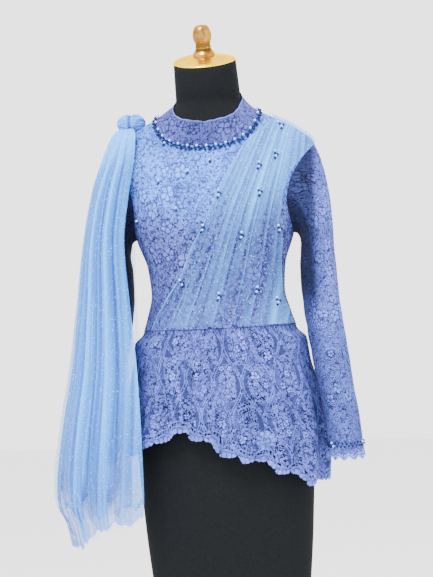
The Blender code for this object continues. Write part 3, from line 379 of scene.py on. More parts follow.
def cordedLace(name, drawn, light, dark, openWork=False):
    # nylon and cotton corded lace, embroidered by machine on fine net: matte, hardly any sheen on its raised
    # cord. light and dark each hold the tones of its deepest lines, its ground and its cord: light for lit
    # lace and dark for lace in painted shade, which the shade attribute mixes in
    material, tree, shader = newMaterial(name, {
        "Roughness": 0.85, "Sheen Weight": 0.02, "Sheen Roughness": 0.5, "Specular IOR Level": 0.07})
    fact = {label: addNode(tree, "ShaderNodeAttribute", attribute_name=label).outputs["Fac"]
            for label in ("thread", "bold", "shade", "open", "whole")}
    flat = addNode(tree, "ShaderNodeAttribute", attribute_name="place").outputs["Vector"]
    # uneven hand of the drawing, its curls, where they break off, the net and a slow wash of colour:
    # size in millimetres, detail and roughness of each
    grains = {"wander": (12.0, 2.0, 0.5), "curl": (drawn["curlMm"], 0.8, 0.6), "patch": (9.0, 1.0, 0.5),
              "net": (1.7, 2.0, 0.5), "wash": (60.0, 2.0, 0.5)}
    noise = {}
    for label, (sizeMm, detail, rough) in grains.items():
        noise[label] = addNode(tree, "ShaderNodeTexNoise", {
            "Vector": flat, "Scale": 1000 / sizeMm, "Detail": detail, "Roughness": rough},
            noise_dimensions="2D").outputs
    shift = addNode(tree, "ShaderNodeVectorMath", (noise["wander"]["Color"], (0.008, 0.008, 0.0), flat),
                    operation="MULTIPLY_ADD")
    # leaf outlines and the finer stitches inside them: size, half width of the line and its fade
    outlines = []
    for sizeMm, edge, fade in ((drawn["leafMm"], 0.070, 0.10), (drawn["leafMm"] * 0.46, 0.06, 0.16)):
        cells = addNode(tree, "ShaderNodeTexVoronoi", {
            "Vector": shift, "Scale": 1000 / sizeMm, "Randomness": 0.85},
            voronoi_dimensions="2D", feature="DISTANCE_TO_EDGE").outputs
        outlines.append(under(tree, edge, cells["Distance"], fade))
    leaf, stitch = outlines
    fields = addNode(tree, "ShaderNodeSeparateColor", (noise["curl"]["Color"],)).outputs
    broken = addNode(tree, "ShaderNodeMath", (under(tree, 0.54, noise["patch"]["Fac"], 0.08), 0.85, 0.15),
                     operation="MULTIPLY_ADD")
    curls = [contourLines(tree, fields[k], width) for k, width in enumerate((0.028, 0.024))]
    curled = addNode(tree, "ShaderNodeMath", curls, operation="MAXIMUM")
    leaves = addNode(tree, "ShaderNodeMath", (leaf, drawn["cells"]), operation="MULTIPLY")
    either = addNode(tree, "ShaderNodeMath", (curled, leaves), operation="MAXIMUM")
    lines = addNode(tree, "ShaderNodeMath", (either, broken), operation="MULTIPLY")
    level = addNode(tree, "ShaderNodeMath", (lines, -drawn["ink"], 0.62), operation="MULTIPLY_ADD")
    level = addNode(tree, "ShaderNodeMath", (stitch, -0.26 * drawn["cells"], level), operation="MULTIPLY_ADD")
    # small and large flowers: size, petals, share shown, ink of the lines, tone of the petals, ink of the rim
    flowers = []
    for sizeMm, petals, share, lineInk, tone, rimInk in (
            (drawn["flowerMm"] * 0.62, 6, drawn["share"] * 0.9, -0.50, drawn["petal"] - 0.06, -0.34),
            (drawn["flowerMm"], 5, drawn["share"], -0.62, drawn["petal"], -0.50)):
        fill, line, rim = drawnBlossoms(tree, shift, sizeMm, petals, 0.46, share)
        petal = addNode(tree, "ShaderNodeMath", (line, lineInk, tone), operation="MULTIPLY_ADD")
        level = addNode(tree, "ShaderNodeMix", {0: fill, 2: level, 3: petal})
        level = addNode(tree, "ShaderNodeMath", (rim, rimInk, level), operation="MULTIPLY_ADD")
        flowers.append(fill)
    # small gaps between the leaves, more and wider where the ground is open, and none in the flowers
    pits = addNode(tree, "ShaderNodeTexVoronoi", {
        "Vector": shift, "Scale": 1000 / (drawn["leafMm"] * 0.60), "Randomness": 0.95},
        voronoi_dimensions="2D").outputs
    chosen = addNode(tree, "ShaderNodeSeparateColor", (pits["Color"],)).outputs
    amount = addNode(tree, "ShaderNodeMath", (fact["open"], 0.56, 0.05), operation="MULTIPLY_ADD")
    pitEdge = addNode(tree, "ShaderNodeMath", (fact["open"], 0.12, 0.33), operation="MULTIPLY_ADD")
    pitSpot = under(tree, pitEdge, pits["Distance"], 0.12)
    picked = addNode(tree, "ShaderNodeMath", (chosen[0], amount), operation="LESS_THAN")
    pit = addNode(tree, "ShaderNodeMath", (pitSpot, picked), operation="MULTIPLY")
    bloom = addNode(tree, "ShaderNodeMath", (flowers[1], flowers[0]), operation="MAXIMUM")
    ground = addNode(tree, "ShaderNodeMath", (bloom, -0.85, 1.0), operation="MULTIPLY_ADD")
    pit = addNode(tree, "ShaderNodeMath", (pit, ground), operation="MULTIPLY")
    level = addNode(tree, "ShaderNodeMix", {0: pit, 2: level, 3: 0.0})
    level = addNode(tree, "ShaderNodeMix", {0: fact["bold"], 2: level, 3: fact["thread"]})
    mesh = addNode(tree, "ShaderNodeMath", (noise["net"]["Fac"], 0.5), operation="SUBTRACT")
    level = addNode(tree, "ShaderNodeMath", (mesh, 0.36, level), operation="MULTIPLY_ADD", use_clamp=True)
    lit, shaded = [addNode(tree, "ShaderNodeValToRGB", (level,), stops=tuple(zip((0.06, 0.50, 0.92), tones)))
                   for tones in (light, dark)]
    # painted shade: where the shade attribute is high, the lit tones give way to their shaded copy
    colour = addNode(tree, "ShaderNodeMix", {0: fact["shade"], 6: lit, 7: shaded}, data_type="RGBA")
    tone = addNode(tree, "ShaderNodeMapRange", {
        "Value": noise["wash"]["Fac"], "From Min": 0.3, "From Max": 0.7, "To Min": 0.86, "To Max": 1.14})
    toned = addNode(tree, "ShaderNodeVectorMath", {0: colour.outputs[2], "Scale": tone}, operation="SCALE")
    raised = addNode(tree, "ShaderNodeBump", {
        "Strength": 1.0, "Distance": drawn["reliefMm"] / 1000, "Height": level})
    feed(tree, shader, {"Base Color": toned, "Normal": raised})
    if openWork:
        bare = addNode(tree, "ShaderNodeMath", (1.0, fact["bold"]), operation="SUBTRACT")
        cut = addNode(tree, "ShaderNodeMath", (pit, bare), operation="MULTIPLY")
        airy = addNode(tree, "ShaderNodeMath", (fact["open"], 0.45), operation="GREATER_THAN")
        cut = addNode(tree, "ShaderNodeMath", (cut, airy), operation="MULTIPLY")
        kept = addNode(tree, "ShaderNodeMath", (fact["whole"], cut), operation="SUBTRACT")
        alpha = addNode(tree, "ShaderNodeMapRange", {"Value": kept, "From Min": 0.38, "From Max": 0.62},
                        interpolation_type="SMOOTHSTEP")
        feed(tree, shader, {"Alpha": alpha})
    return material


def glitterTulle(name, deep, pale, thinnest, thickest, single=None):
    # soft nylon tulle with glued glitter dust, sheer where single and paler where its folds lie double; its
    # 1 mm mesh is drawn as 2.2 mm grain. single is its frosty tone where one bare layer turns edge-on
    material, tree, shader = newMaterial(name, {
        "Roughness": 0.75, "Sheen Weight": 0.05, "Sheen Roughness": 0.35, "Specular IOR Level": 0.08})
    cover = addNode(tree, "ShaderNodeAttribute", attribute_name="cover").outputs["Fac"]
    place = addNode(tree, "ShaderNodeTexCoord").outputs["Object"]
    mesh = addNode(tree, "ShaderNodeTexNoise", {
        "Vector": place, "Scale": 1 / 0.0022, "Detail": 2.0}).outputs["Fac"]
    dust = addNode(tree, "ShaderNodeTexVoronoi", {"Vector": place, "Scale": 1 / 0.0028}).outputs
    chosen = addNode(tree, "ShaderNodeSeparateColor", {"Color": dust["Color"]})
    picked = addNode(tree, "ShaderNodeMath", (chosen, 0.86), operation="GREATER_THAN")
    close = addNode(tree, "ShaderNodeMath", (dust["Distance"], 0.30), operation="LESS_THAN")
    fleck = addNode(tree, "ShaderNodeMath", (picked, close), operation="MULTIPLY")
    stops = ((0.17, single), (0.34, deep), (0.95, pale)) if single else ((0.0, deep), (1.0, pale))
    colour = addNode(tree, "ShaderNodeValToRGB", (cover,), stops=stops)
    laid = addNode(tree, "ShaderNodeMath", (cover, 0.62 if single else 1.0), operation="POWER")
    bright = addNode(tree, "ShaderNodeMix", {0: fleck, 6: colour, 7: linear("#a8d4ff")}, data_type="RGBA")
    layer = addNode(tree, "ShaderNodeMapRange", {"Value": laid, "To Min": thinnest, "To Max": thickest})
    holes = addNode(tree, "ShaderNodeMapRange", {
        "Value": mesh, "From Min": 0.35, "From Max": 0.65, "To Min": 0.80, "To Max": 1.14})
    sheer = addNode(tree, "ShaderNodeMath", (layer, holes), operation="MULTIPLY")
    shine = addNode(tree, "ShaderNodeMath", (fleck, 0.8), operation="MULTIPLY")
    solid = addNode(tree, "ShaderNodeMath", (sheer, shine), operation="MAXIMUM", use_clamp=True)
    grain = addNode(tree, "ShaderNodeBump", {"Strength": 0.35, "Distance": 0.0004, "Height": mesh})
    feed(tree, shader, {"Base Color": bright.outputs[2], "Alpha": solid, "Normal": grain})
    return material


def blackJersey():
    # knitted polyester jersey pulled tight over the torso: matte black, with faint bands 12.6 mm apart, which
    # is a scale error: such a jersey's rib is about 2 mm
    material, tree, shader = newMaterial("blackKnittedJersey", {
        "Roughness": 0.92, "Sheen Weight": 0.0, "Specular IOR Level": 0.05})
    place = addNode(tree, "ShaderNodeTexCoord").outputs["Object"]
    # bands lie 2 pi / 20 of the texture's own unit apart
    rib = addNode(tree, "ShaderNodeTexWave", {"Vector": place, "Scale": 25.0, "Distortion": 1.0},
                  wave_type="BANDS", bands_direction="X").outputs["Fac"]
    lint = addNode(tree, "ShaderNodeTexNoise", {
        "Vector": place, "Scale": 1 / 0.004, "Detail": 4.0}).outputs["Fac"]
    colour = addNode(tree, "ShaderNodeValToRGB", (lint,), stops=((0.35, "#131517"), (0.7, "#17191b")))
    bump = addNode(tree, "ShaderNodeBump", {"Strength": 0.25, "Distance": 0.0003, "Height": rib})
    feed(tree, shader, {"Base Color": colour, "Normal": bump})
    return material


def goldLacquer(name, dark, light, groove):
    # turned wood under gold lacquer: smooth, faintly clouded in its coat, the lacquer browner in its grooves
    material, tree, shader = newMaterial(name, {
        "Metallic": 1.0, "Roughness": 0.3, "Specular Tint": linear("#ffdc8c")})
    place = addNode(tree, "ShaderNodeTexCoord").outputs["Object"]
    deep = addNode(tree, "ShaderNodeAttribute", attribute_name="groove").outputs["Fac"]
    cloud = addNode(tree, "ShaderNodeTexNoise", {
        "Vector": place, "Scale": 1 / 0.014, "Detail": 2.0}).outputs["Fac"]
    colour = addNode(tree, "ShaderNodeValToRGB", (cloud,), stops=((0.3, dark), (0.7, light)))
    pooled = addNode(tree, "ShaderNodeMix", {0: deep, 6: colour, 7: linear(groove)}, data_type="RGBA")
    rough = addNode(tree, "ShaderNodeMapRange", {"Value": cloud, "To Min": 0.20, "To Max": 0.36})
    feed(tree, shader, {"Base Color": pooled.outputs[2], "Roughness": rough})
    return material


def powderCoat():
    # powder-coated steel: dark, slightly pebbled by the 1 mm orange peel of the baked powder
    material, tree, shader = newMaterial("blackPowderCoat", {
        "Metallic": 0.0, "Roughness": 0.5, "Specular IOR Level": 0.2})
    place = addNode(tree, "ShaderNodeTexCoord").outputs["Object"]
    peel = addNode(tree, "ShaderNodeTexNoise", {
        "Vector": place, "Scale": 1 / 0.001, "Detail": 2.0}).outputs["Fac"]
    wear = addNode(tree, "ShaderNodeTexNoise", {
        "Vector": place, "Scale": 1 / 0.03, "Detail": 4.0}).outputs["Fac"]
    colour = addNode(tree, "ShaderNodeValToRGB", (wear,), stops=((0.3, "#121315"), (0.75, "#1c1d20")))
    bump = addNode(tree, "ShaderNodeBump", {"Strength": 0.2, "Distance": 0.0002, "Height": peel})
    feed(tree, shader, {"Base Color": colour, "Normal": bump})
    return material


def glassPearl(name, dark, light):
    # glass bead with a painted pearl coat: a small bright spot over a clouded ground
    material, tree, shader = newMaterial(name, {"Roughness": 0.3, "Specular IOR Level": 0.12})
    place = addNode(tree, "ShaderNodeTexCoord").outputs["Object"]
    cloud = addNode(tree, "ShaderNodeTexNoise", {
        "Vector": place, "Scale": 1 / 0.004, "Detail": 2.0}).outputs["Fac"]
    colour = addNode(tree, "ShaderNodeValToRGB", (cloud,), stops=((0.35, dark), (0.65, light)))
    feed(tree, shader, {"Base Color": colour})
    return material


# each lace: leaves, curls and flowers in millimetres, how strongly they are drawn, how high the cord stands
laces = {
    "bodice": {"leafMm": 6.6, "curlMm": 10.5, "cells": 0.26, "flowerMm": 31.0, "share": 0.30, "petal": 0.68,
               "ink": 0.74, "reliefMm": 1.6},
    "collar": {"leafMm": 8.0, "curlMm": 15.0, "cells": 0.16, "flowerMm": 28.0, "share": 0.30, "petal": 0.64,
               "ink": 0.46, "reliefMm": 1.0},
    "sleeve": {"leafMm": 4.8, "curlMm": 12.0, "cells": 0.60, "flowerMm": 22.0, "share": 0.26, "petal": 0.72,
               "ink": 0.40, "reliefMm": 1.0},
    "peplum": {"leafMm": 5.2, "curlMm": 12.0, "cells": 0.80, "flowerMm": 17.0, "share": 0.34, "petal": 0.76,
               "ink": 0.50, "reliefMm": 1.2},
    "trim": {"leafMm": 4.0, "curlMm": 9.0, "cells": 0.7, "flowerMm": 12.0, "share": 0.3, "petal": 0.8,
             "ink": 0.3, "reliefMm": 0.8},
}
# lit tones of the bodice lace, then darker copies of the lace tones that paint its shade
upperLitTones = ("#343c7c", "#4c7ade", "#68a6ff")
lowerShadedTones = ("#1e2252", "#4e58a2", "#7486e2")
shadeTones = ("#080a18", "#161a34", "#222850")
bodiceLace = cordedLace("cordedLaceOnKnitLining", laces["bodice"], upperLitTones, lowerShadedTones)
collarLace = cordedLace("cordedLaceCollar", laces["collar"],
                        ("#1c2048", "#444a90", "#6270c4"), ("#101430", "#30366e", "#505aa0"))
sleeveLace = cordedLace("cordedLaceSleeve", laces["sleeve"], ("#141838", "#4e5cb2", "#7c94f8"), shadeTones)
skirtLace = cordedLace("cordedLaceOpenwork", laces["peplum"],
                       ("#121636", "#4e5aac", "#7c90f4"), shadeTones, openWork=True)
trimLace = cordedLace("whiteBlueLaceEdge", laces["trim"],
                      ("#202860", "#4452a4", "#7c98f4"), lowerShadedTones, openWork=True)
drapeTulle = glitterTulle("pleatedGlitterTulle", "#444a98", "#5cb0ff", 0.14, 0.94)
fallTulle = glitterTulle("hangingGlitterTulle", "#2454ac", "#52a4ff", 0.06, 0.95, "#b0d2ff")
pompomTulle = glitterTulle("gatheredGlitterTulle", "#244cb0", "#58acff", 0.85, 1.0)
jersey = blackJersey()
capGold = goldLacquer("goldLacqueredCap", "#f2c42c", "#ffdc48", "#94641c")
finialGold = goldLacquer("goldLacqueredFinial", "#7c5826", "#c09048", "#40280c")
steel = powderCoat()
pearl = glassPearl("whiteGlassPearl", "#78a8ff", "#b8dcff")
darkBead = glassPearl("blueGlassBead", "#0a0e2a", "#1c2a66")

print("finishes ready")


# bodice: edges of its three panels by height in metres and angle in degrees
bodice = {
    "step": 0.0021, "length": 0.44,   # mesh step up the cloth, over a little more than its length
    "underarm": 1.165, "shoulderTip": 1.3375, "neckSide": 1.3953,
    "holeShare": [0.0, 0.05, 0.16, 0.40, 0.65, 0.85, 1.0],
    "holeFront": [0.0, 6.5, 15.5, 22.5, 19.0, 11.0, 0.0],
    "holeBack": [0.0, 6.0, 14.0, 20.0, 17.0, 10.0, 0.0],
    "neckFrontAngle": [0, 20, 35, 46, 57, 73, 90],
    "neckFront": [1.3953, 1.3850, 1.3690, 1.3520, 1.3400, 1.3320, 1.3300],
    "neckBackAngle": [0, 30, 60, 90],
    "neckBack": [1.3953, 1.4010, 1.4045, 1.4050],
    # its drawing, in millimetres: large flowers, and the cord frames' width, height and slant
    "flowerGap": 74.0, "flowerRadius": 25.0, "petals": 8, "frame": (104.0, 190.0, 0.10),
}
seamRows = {"side": 7, "hole": 8, "ridge": 4}   # parts of a side edge: side seam, armhole, shoulder


def quarterAngle(angle):
    angle = np.mod(angle, 360)
    onFront = angle <= 180
    quarter = np.where(onFront, angle, 360 - angle)
    return np.minimum(quarter, 180 - quarter), onFront


def neckline(angle):
    quarter, onFront = quarterAngle(np.asarray(angle, float))
    front = curveThrough(bodice["neckFrontAngle"], bodice["neckFront"], quarter)
    back = curveThrough(bodice["neckBackAngle"], bodice["neckBack"], quarter)
    return np.where(onFront, front, back)


def armhole(part, sideAngle, towards, which):
    share = blendTo(part, (1 - np.cos(np.pi * part)) / 2, 0.6)
    height = blendTo(bodice["underarm"], bodice["shoulderTip"], share)
    across = curveThrough(bodice["holeShare"], bodice[which], share)
    return np.stack([sideAngle + towards * across, height], -1)


def sideEdge(v, sideAngle, towards, which):
    rows = v * sum(seamRows.values())
    side = np.stack([np.full(v.shape, float(sideAngle)),
                     blendTo(waist, bodice["underarm"], np.clip(rows / seamRows["side"], 0, 1))], -1)
    part = np.clip((rows - seamRows["side"]) / seamRows["hole"], 0, 1)
    hole = armhole(part, sideAngle, towards, which)
    up = np.clip((rows - seamRows["side"] - seamRows["hole"]) / seamRows["ridge"], 0, 1)
    ridge = np.stack([np.full(v.shape, float(sideAngle)),
                      blendTo(bodice["shoulderTip"], bodice["neckSide"], up)], -1)
    low = (rows <= seamRows["side"])[..., None]
    mid = (rows <= seamRows["side"] + seamRows["hole"])[..., None]
    return np.where(low, side, np.where(mid, hole, ridge))


def fillPatch(bottom, top, left, right):
    # (angle, height) filled in between four edges
    u = np.linspace(0, 1, len(bottom))[None, :, None]
    v = np.linspace(0, 1, len(left))[:, None, None]
    edges = (1 - v) * bottom[None] + v * top[None] + (1 - u) * left[:, None] + u * right[:, None]
    corners = ((1 - v) * ((1 - u) * bottom[0] + u * bottom[-1]) + v * ((1 - u) * top[0] + u * top[-1]))
    return edges - corners


def bunched(u):
    return blendTo(u, (1 - np.cos(np.pi * u)) / 2, 0.45)


def bodiceFields(u, v, height):
    # pointed frames with large drawn flowers; returns how high the cord lies and how far it covers the ground
    a, b = waver(u, v, 19.0, 2.2)
    big = cellField(a, b, bodice["flowerGap"], 0.5, 3)
    flower = (big, bodice["petals"], bodice["flowerRadius"], 0.30)
    parting = petalLines(*flower)
    shown = big["pick"] < 0.55
    edge = soft(1.3, np.abs(big["first"] - petalReach(*flower)), 1.2) * shown
    lattice = np.abs(ogeeDistance(a, b, *bodice["frame"])[0] - 2.4)
    line = soft(0.9, lattice, 1.3)
    bold = np.maximum.reduce([0.9 * edge, 0.8 * parting * shown, 0.9 * line])
    return 0.10 + 0.1 * line, np.clip(bold, 0, 1) * smoothStep((height - 1.0) / 0.03)


def bodicePatch(name, columns, start, turn, centre):
    # centre is the back opening's angle, or None for the whole front
    rows = int(bodice["length"] / bodice["step"])
    u = np.linspace(0, 1, columns + 1)
    v = np.linspace(0, 1, rows + 1)
    if centre is None:
        angles = 180.0 * bunched(u)
        left = sideEdge(v, 0.0, 1.0, "holeFront")
        right = sideEdge(v, 180.0, -1.0, "holeFront")
    else:
        angles = start + turn * 180.0 * bunched(u / 2)
        left = sideEdge(v, start, turn, "holeBack")
        right = np.stack([np.full(v.shape, centre), blendTo(waist, neckline(centre), v)], -1)
    bottom = np.stack([angles, np.full(u.shape, waist)], -1)
    top = np.stack([angles, neckline(angles)], -1)
    spots = fillPatch(bottom, top, left, right)
    points = clothSurface(spots[..., 0], spots[..., 1])
    along = surfaceLength(points, 1) * 1000
    across = along - along[:, [columns // 2 if centre is None else columns]]
    if centre is not None and turn > 0:
        across = -across
    thread, bold = bodiceFields(across + 300, spots[..., 1] * 1000, spots[..., 1])
    # painted shade: darker down the bodice below about 1.25 m, and more towards the sides; partly also the
    # closer, darker lace low on the bodice, which opens more small gaps there
    shade = smoothStep((1.245 - spots[..., 1] + 0.25 * np.abs(points[..., 0])) / 0.11)
    # the cords sink a little into the cloth, less towards the seams
    column = np.arange(columns + 1)
    relief = -bold * 0.0005 * np.clip(np.minimum(column, columns - column) / 3, 0, 1)
    normal = formNormal(spots[..., 0], spots[..., 1])
    points = points + normal * relief[..., None]
    place = np.stack([(across + 300) / 1000, spots[..., 1]], -1)
    facts = {"thread": thread, "bold": bold, "shade": shade, "open": 0.12 * shade}
    piece = meshFromGrid(name, points, bodiceLace, facts, outward=normal, place=place)
    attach(piece, "root")
    return piece


bodiceFront = bodicePatch("bodiceFrontLace", 216, 0, 1, None)
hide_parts("bodice_front")
bodiceBackLeft = bodicePatch("bodiceBackLeftLace", 84, 360.0, -1.0, 270.0)
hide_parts("bodice_back_left")
bodiceBackRight = bodicePatch("bodiceBackRightLace", 84, 180.0, 1.0, 270.0)
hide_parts("bodice_back_right")
print("bodice ready")


# stand collar: its rim by angle and height, and its two walls
collar = {
    "rimFrontAngle": [0, 30, 60, 90], "rimFront": [1.4215, 1.4090, 1.3840, 1.3760],
    "rimBackAngle": [0, 30, 60, 90], "rimBack": [1.4215, 1.4340, 1.4430, 1.4450],
    "rimOut": 0.0012, "leastRoom": 0.0030, "wall": 0.0018, "lining": 0.0004, "seam": 0.0004,
    "columns": 300, "rows": 26,
    "flowerGap": 34.0, "flowerRadius": 13.0, "petals": 6,   # its drawing, in millimetres
}


def rimHeight(angle):
    quarter, onFront = quarterAngle(np.asarray(angle, float))
    front = curveThrough(collar["rimFrontAngle"], collar["rimFront"], quarter)
    back = curveThrough(collar["rimBackAngle"], collar["rimBack"], quarter)
    return np.where(onFront, front, back)


def collarSurface(angle, share, out):
    base = clothSurface(angle, neckline(angle), out)
    rim = rimHeight(angle)
    top = formSurface(angle, rim) + formNormal(angle, rim) * (collar["rimOut"] + out)
    share = np.asarray(share, float)
    height = blendTo(neckline(angle), rim, share)
    point = blendTo(base + unitRows(top - base) * collar["seam"], top, share[..., None])
    normal = formNormal(angle, height)
    room = np.sum((point - formSurface(angle, height)) * normal, -1) - out
    lift = np.maximum(collar["leastRoom"] - room, 0) * np.clip(6 * share * (1 - share), 0, 1)
    return point + normal * lift[..., None], normal


def buildCollar():
    angles = np.linspace(-89.6, 269.6, collar["columns"] + 1)[None, :] + np.zeros((collar["rows"] + 1, 1))
    share = np.linspace(0, 1, collar["rows"] + 1)[:, None] + np.zeros_like(angles)
    points, normal = collarSurface(angles, share, collar["wall"])
    u = surfaceLength(points, 1)[collar["rows"] // 2] * 1000 + 0 * share
    v = surfaceLength(points, 0) * 1000
    cells = cellField(*waver(u, v, 14.0, 2.0), collar["flowerGap"], 0.6, 3)
    flower = (cells, collar["petals"], collar["flowerRadius"], 0.3)
    parting = petalLines(*flower)
    edge = soft(0.9, np.abs(cells["first"] - petalReach(*flower)), 1.0)
    rim = soft(0.05, 1 - share, 0.04)
    thread = blendTo(0.04, 0.85, rim)
    bold = np.maximum.reduce([0.6 * edge, 0.5 * parting, rim])
    wavyRim = 0.0011 * np.abs(np.sin(u[-1] / 7.0))
    points = points + normal * ((thread - 0.5) * bold * 0.0007)[..., None]
    points[-1, :, 2] += wavyRim
    place = np.stack([u, v], -1) / 1000
    # painted shade, darkest at the front middle of the collar
    shade = 0.85 * np.exp(-((angles - 98) / 30) ** 2)
    facts = {"thread": thread, "bold": bold, "shade": shade, "open": 0.1}
    piece = meshFromGrid("standCollarLace", points, collarLace, facts, outward=normal, place=place)
    inside, normal = collarSurface(angles, share, collar["lining"])
    inside[-1, :, 2] += wavyRim
    # the facing inside the collar, a little in painted shade
    plain = {"thread": 0.5, "bold": 1.0, "shade": 0.3, "open": 0.0}
    facing = meshFromGrid("collarFacing", inside, collarLace, plain, outward=-normal, place=place)
    for wall in (piece, facing):
        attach(wall, "root")
    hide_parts("collar")


buildCollar()
print("collar ready")


# sleeves, from the armhole over the cap and down to the cuff: the arm's middle and half sizes by height
sleeve = {
    "height": [0.765, 0.820, 0.875, 0.935, 0.995, 1.050, 1.110],
    "leftX": [0.2310, 0.2255, 0.2168, 0.2082, 0.1997, 0.1937, 0.1915],
    "rightX": [-0.2325, -0.2265, -0.2200, -0.2120, -0.2035, -0.1980, -0.1980],
    "y": [-0.050, -0.042, -0.033, -0.022, -0.010, 0.000, 0.006],
    "halfX": [0.0305, 0.0310, 0.0315, 0.0332, 0.0337, 0.0335, 0.0325],
    "halfY": [0.0370, 0.0385, 0.0410, 0.0440, 0.0460, 0.0480, 0.0500],
    "around": 132, "capRows": 120, "armRows": 182, "seam": 0.0006,
    "leaveAtTip": (0.50, 0.45, 0.80), "leaveAtUnderarm": (0.30, 1.00, 0.00),   # inward, outward, down
    # soft folds at the inner elbow and under the arm: height, reach down, depth, slant
    "creases": ((1.155, 0.020, 0.0020, 0.030), (1.118, 0.014, 0.0014, -0.020),
                (1.040, 0.016, 0.0011, 0.022), (0.985, 0.012, 0.0013, -0.016),
                (0.948, 0.011, 0.0009, 0.012), (0.860, 0.015, 0.0007, -0.014)),
    # its drawing, in millimetres: the flat girth, and large flowers
    "girthMm": 235.0, "flowerGap": 76.0, "flowerRadius": 29.0, "petals": 6,
}
cuffTrim = {"drop": 0.022, "lean": (0.12, -0.14), "flare": 0.0012, "scallops": 11, "rise": 0.006,
            "girthMm": 216, "columns": 240, "rows": 16}


def armRing(height, side, sign, spin, out):
    turn = 2 * np.pi * spin
    column = {name: curveThrough(sleeve["height"], sleeve[name], height)
              for name in (side, "y", "halfX", "halfY")}
    return np.stack([column[side] - sign * np.cos(turn) * (column["halfX"] + out),
                     column["y"] - np.sin(turn) * (column["halfY"] + out), height + 0 * turn], -1)


def armholeSpot(spin, start, turn):
    spin = np.mod(spin, 1.0)
    front = armhole(np.clip(spin / 0.5, 0, 1), start, turn, "holeFront")
    back = armhole(np.clip((1 - spin) / 0.5, 0, 1), start, -turn, "holeBack")
    return np.where((spin <= 0.5)[..., None], front, back)


def sleeveMiddle(start, turn, side, sign):
    spin = np.arange(sleeve["around"]) / sleeve["around"]
    spots = armholeSpot(spin, start, turn)
    before = armholeSpot(spin - 0.01, start, turn)
    after = armholeSpot(spin + 0.01, start, turn)
    root = clothSurface(spots[:, 0], spots[:, 1], cloth / 2)
    seam = unitRows(clothSurface(after[:, 0], after[:, 1], cloth / 2)
                    - clothSurface(before[:, 0], before[:, 1], cloth / 2))
    into = unitRows(np.cross(seam, formNormal(spots[:, 0], spots[:, 1])))
    centre = clothSurface(start, (bodice["underarm"] + bodice["shoulderTip"]) / 2, 0.0)
    into = np.where(np.sum(into * (centre - root), -1, keepdims=True) < 0, -into, into)
    low = (0.5 + 0.5 * np.cos(2 * np.pi * spin))[:, None]
    ways = [blendTo(a, b, low) for a, b in zip(sleeve["leaveAtTip"], sleeve["leaveAtUnderarm"])]
    startWay = unitRows(into * ways[0] + np.array([sign, 0, 0]) * ways[1] + np.array([0, 0, -1]) * ways[2])
    # evened round the armhole, so the cap doesn't lap over itself at the shoulder tip
    for _ in range(16):
        startWay = unitRows(np.roll(startWay, 1, axis=0) + 2 * startWay + np.roll(startWay, -1, axis=0))
    top = sleeve["height"][-1]
    end = armRing(np.full(spin.shape, top), side, sign, spin, cloth / 2)
    endWay = unitRows(armRing(np.full(spin.shape, top - 0.02), side, sign, spin, cloth / 2) - end)
    reach = np.linalg.norm(end - root, axis=-1, keepdims=True)
    rows = [root + into * sleeve["seam"]]
    for t in np.linspace(0, 1, sleeve["capRows"] + 1)[1:] ** 1.15:
        a = root * (1 + 2 * t) * (1 - t) ** 2 + startWay * reach * t * (1 - t) ** 2
        rows.append(a + end * t * t * (3 - 2 * t) + endWay * reach * t * t * (t - 1))
    for height in np.linspace(top, sleeve["height"][0], sleeve["armRows"] + 1)[1:]:
        rows.append(armRing(np.full(spin.shape, height), side, sign, spin, cloth / 2))
    return np.array(rows)


def sleeveCreases(points, spin):
    depth = np.zeros(points.shape[:2])
    front = np.sin(2 * np.pi * spin)[None, :]
    inner = np.clip(np.cos(2 * np.pi * spin)[None, :], 0, 1)
    for height, reach, amount, slant in sleeve["creases"]:
        line = points[..., 2] - height - slant * (front - 0.3)
        depth += amount * np.exp(-(line / reach) ** 2) * (0.35 + 0.65 * inner)
    return depth


def sleeveShape(points, spin):
    # a soft edge down the front where the empty sleeve folds, flatter towards the body; reach in metres
    high = smoothStep((points[..., 2] - 0.90) / 0.10) * smoothStep((1.31 - points[..., 2]) / 0.05)
    ridge = 0.0032 * np.exp(-((spin - 0.275) / 0.030) ** 2)
    hollow = 0.0040 * np.exp(-((spin - 0.155) / 0.065) ** 2)
    return (ridge - hollow)[None, :] * high


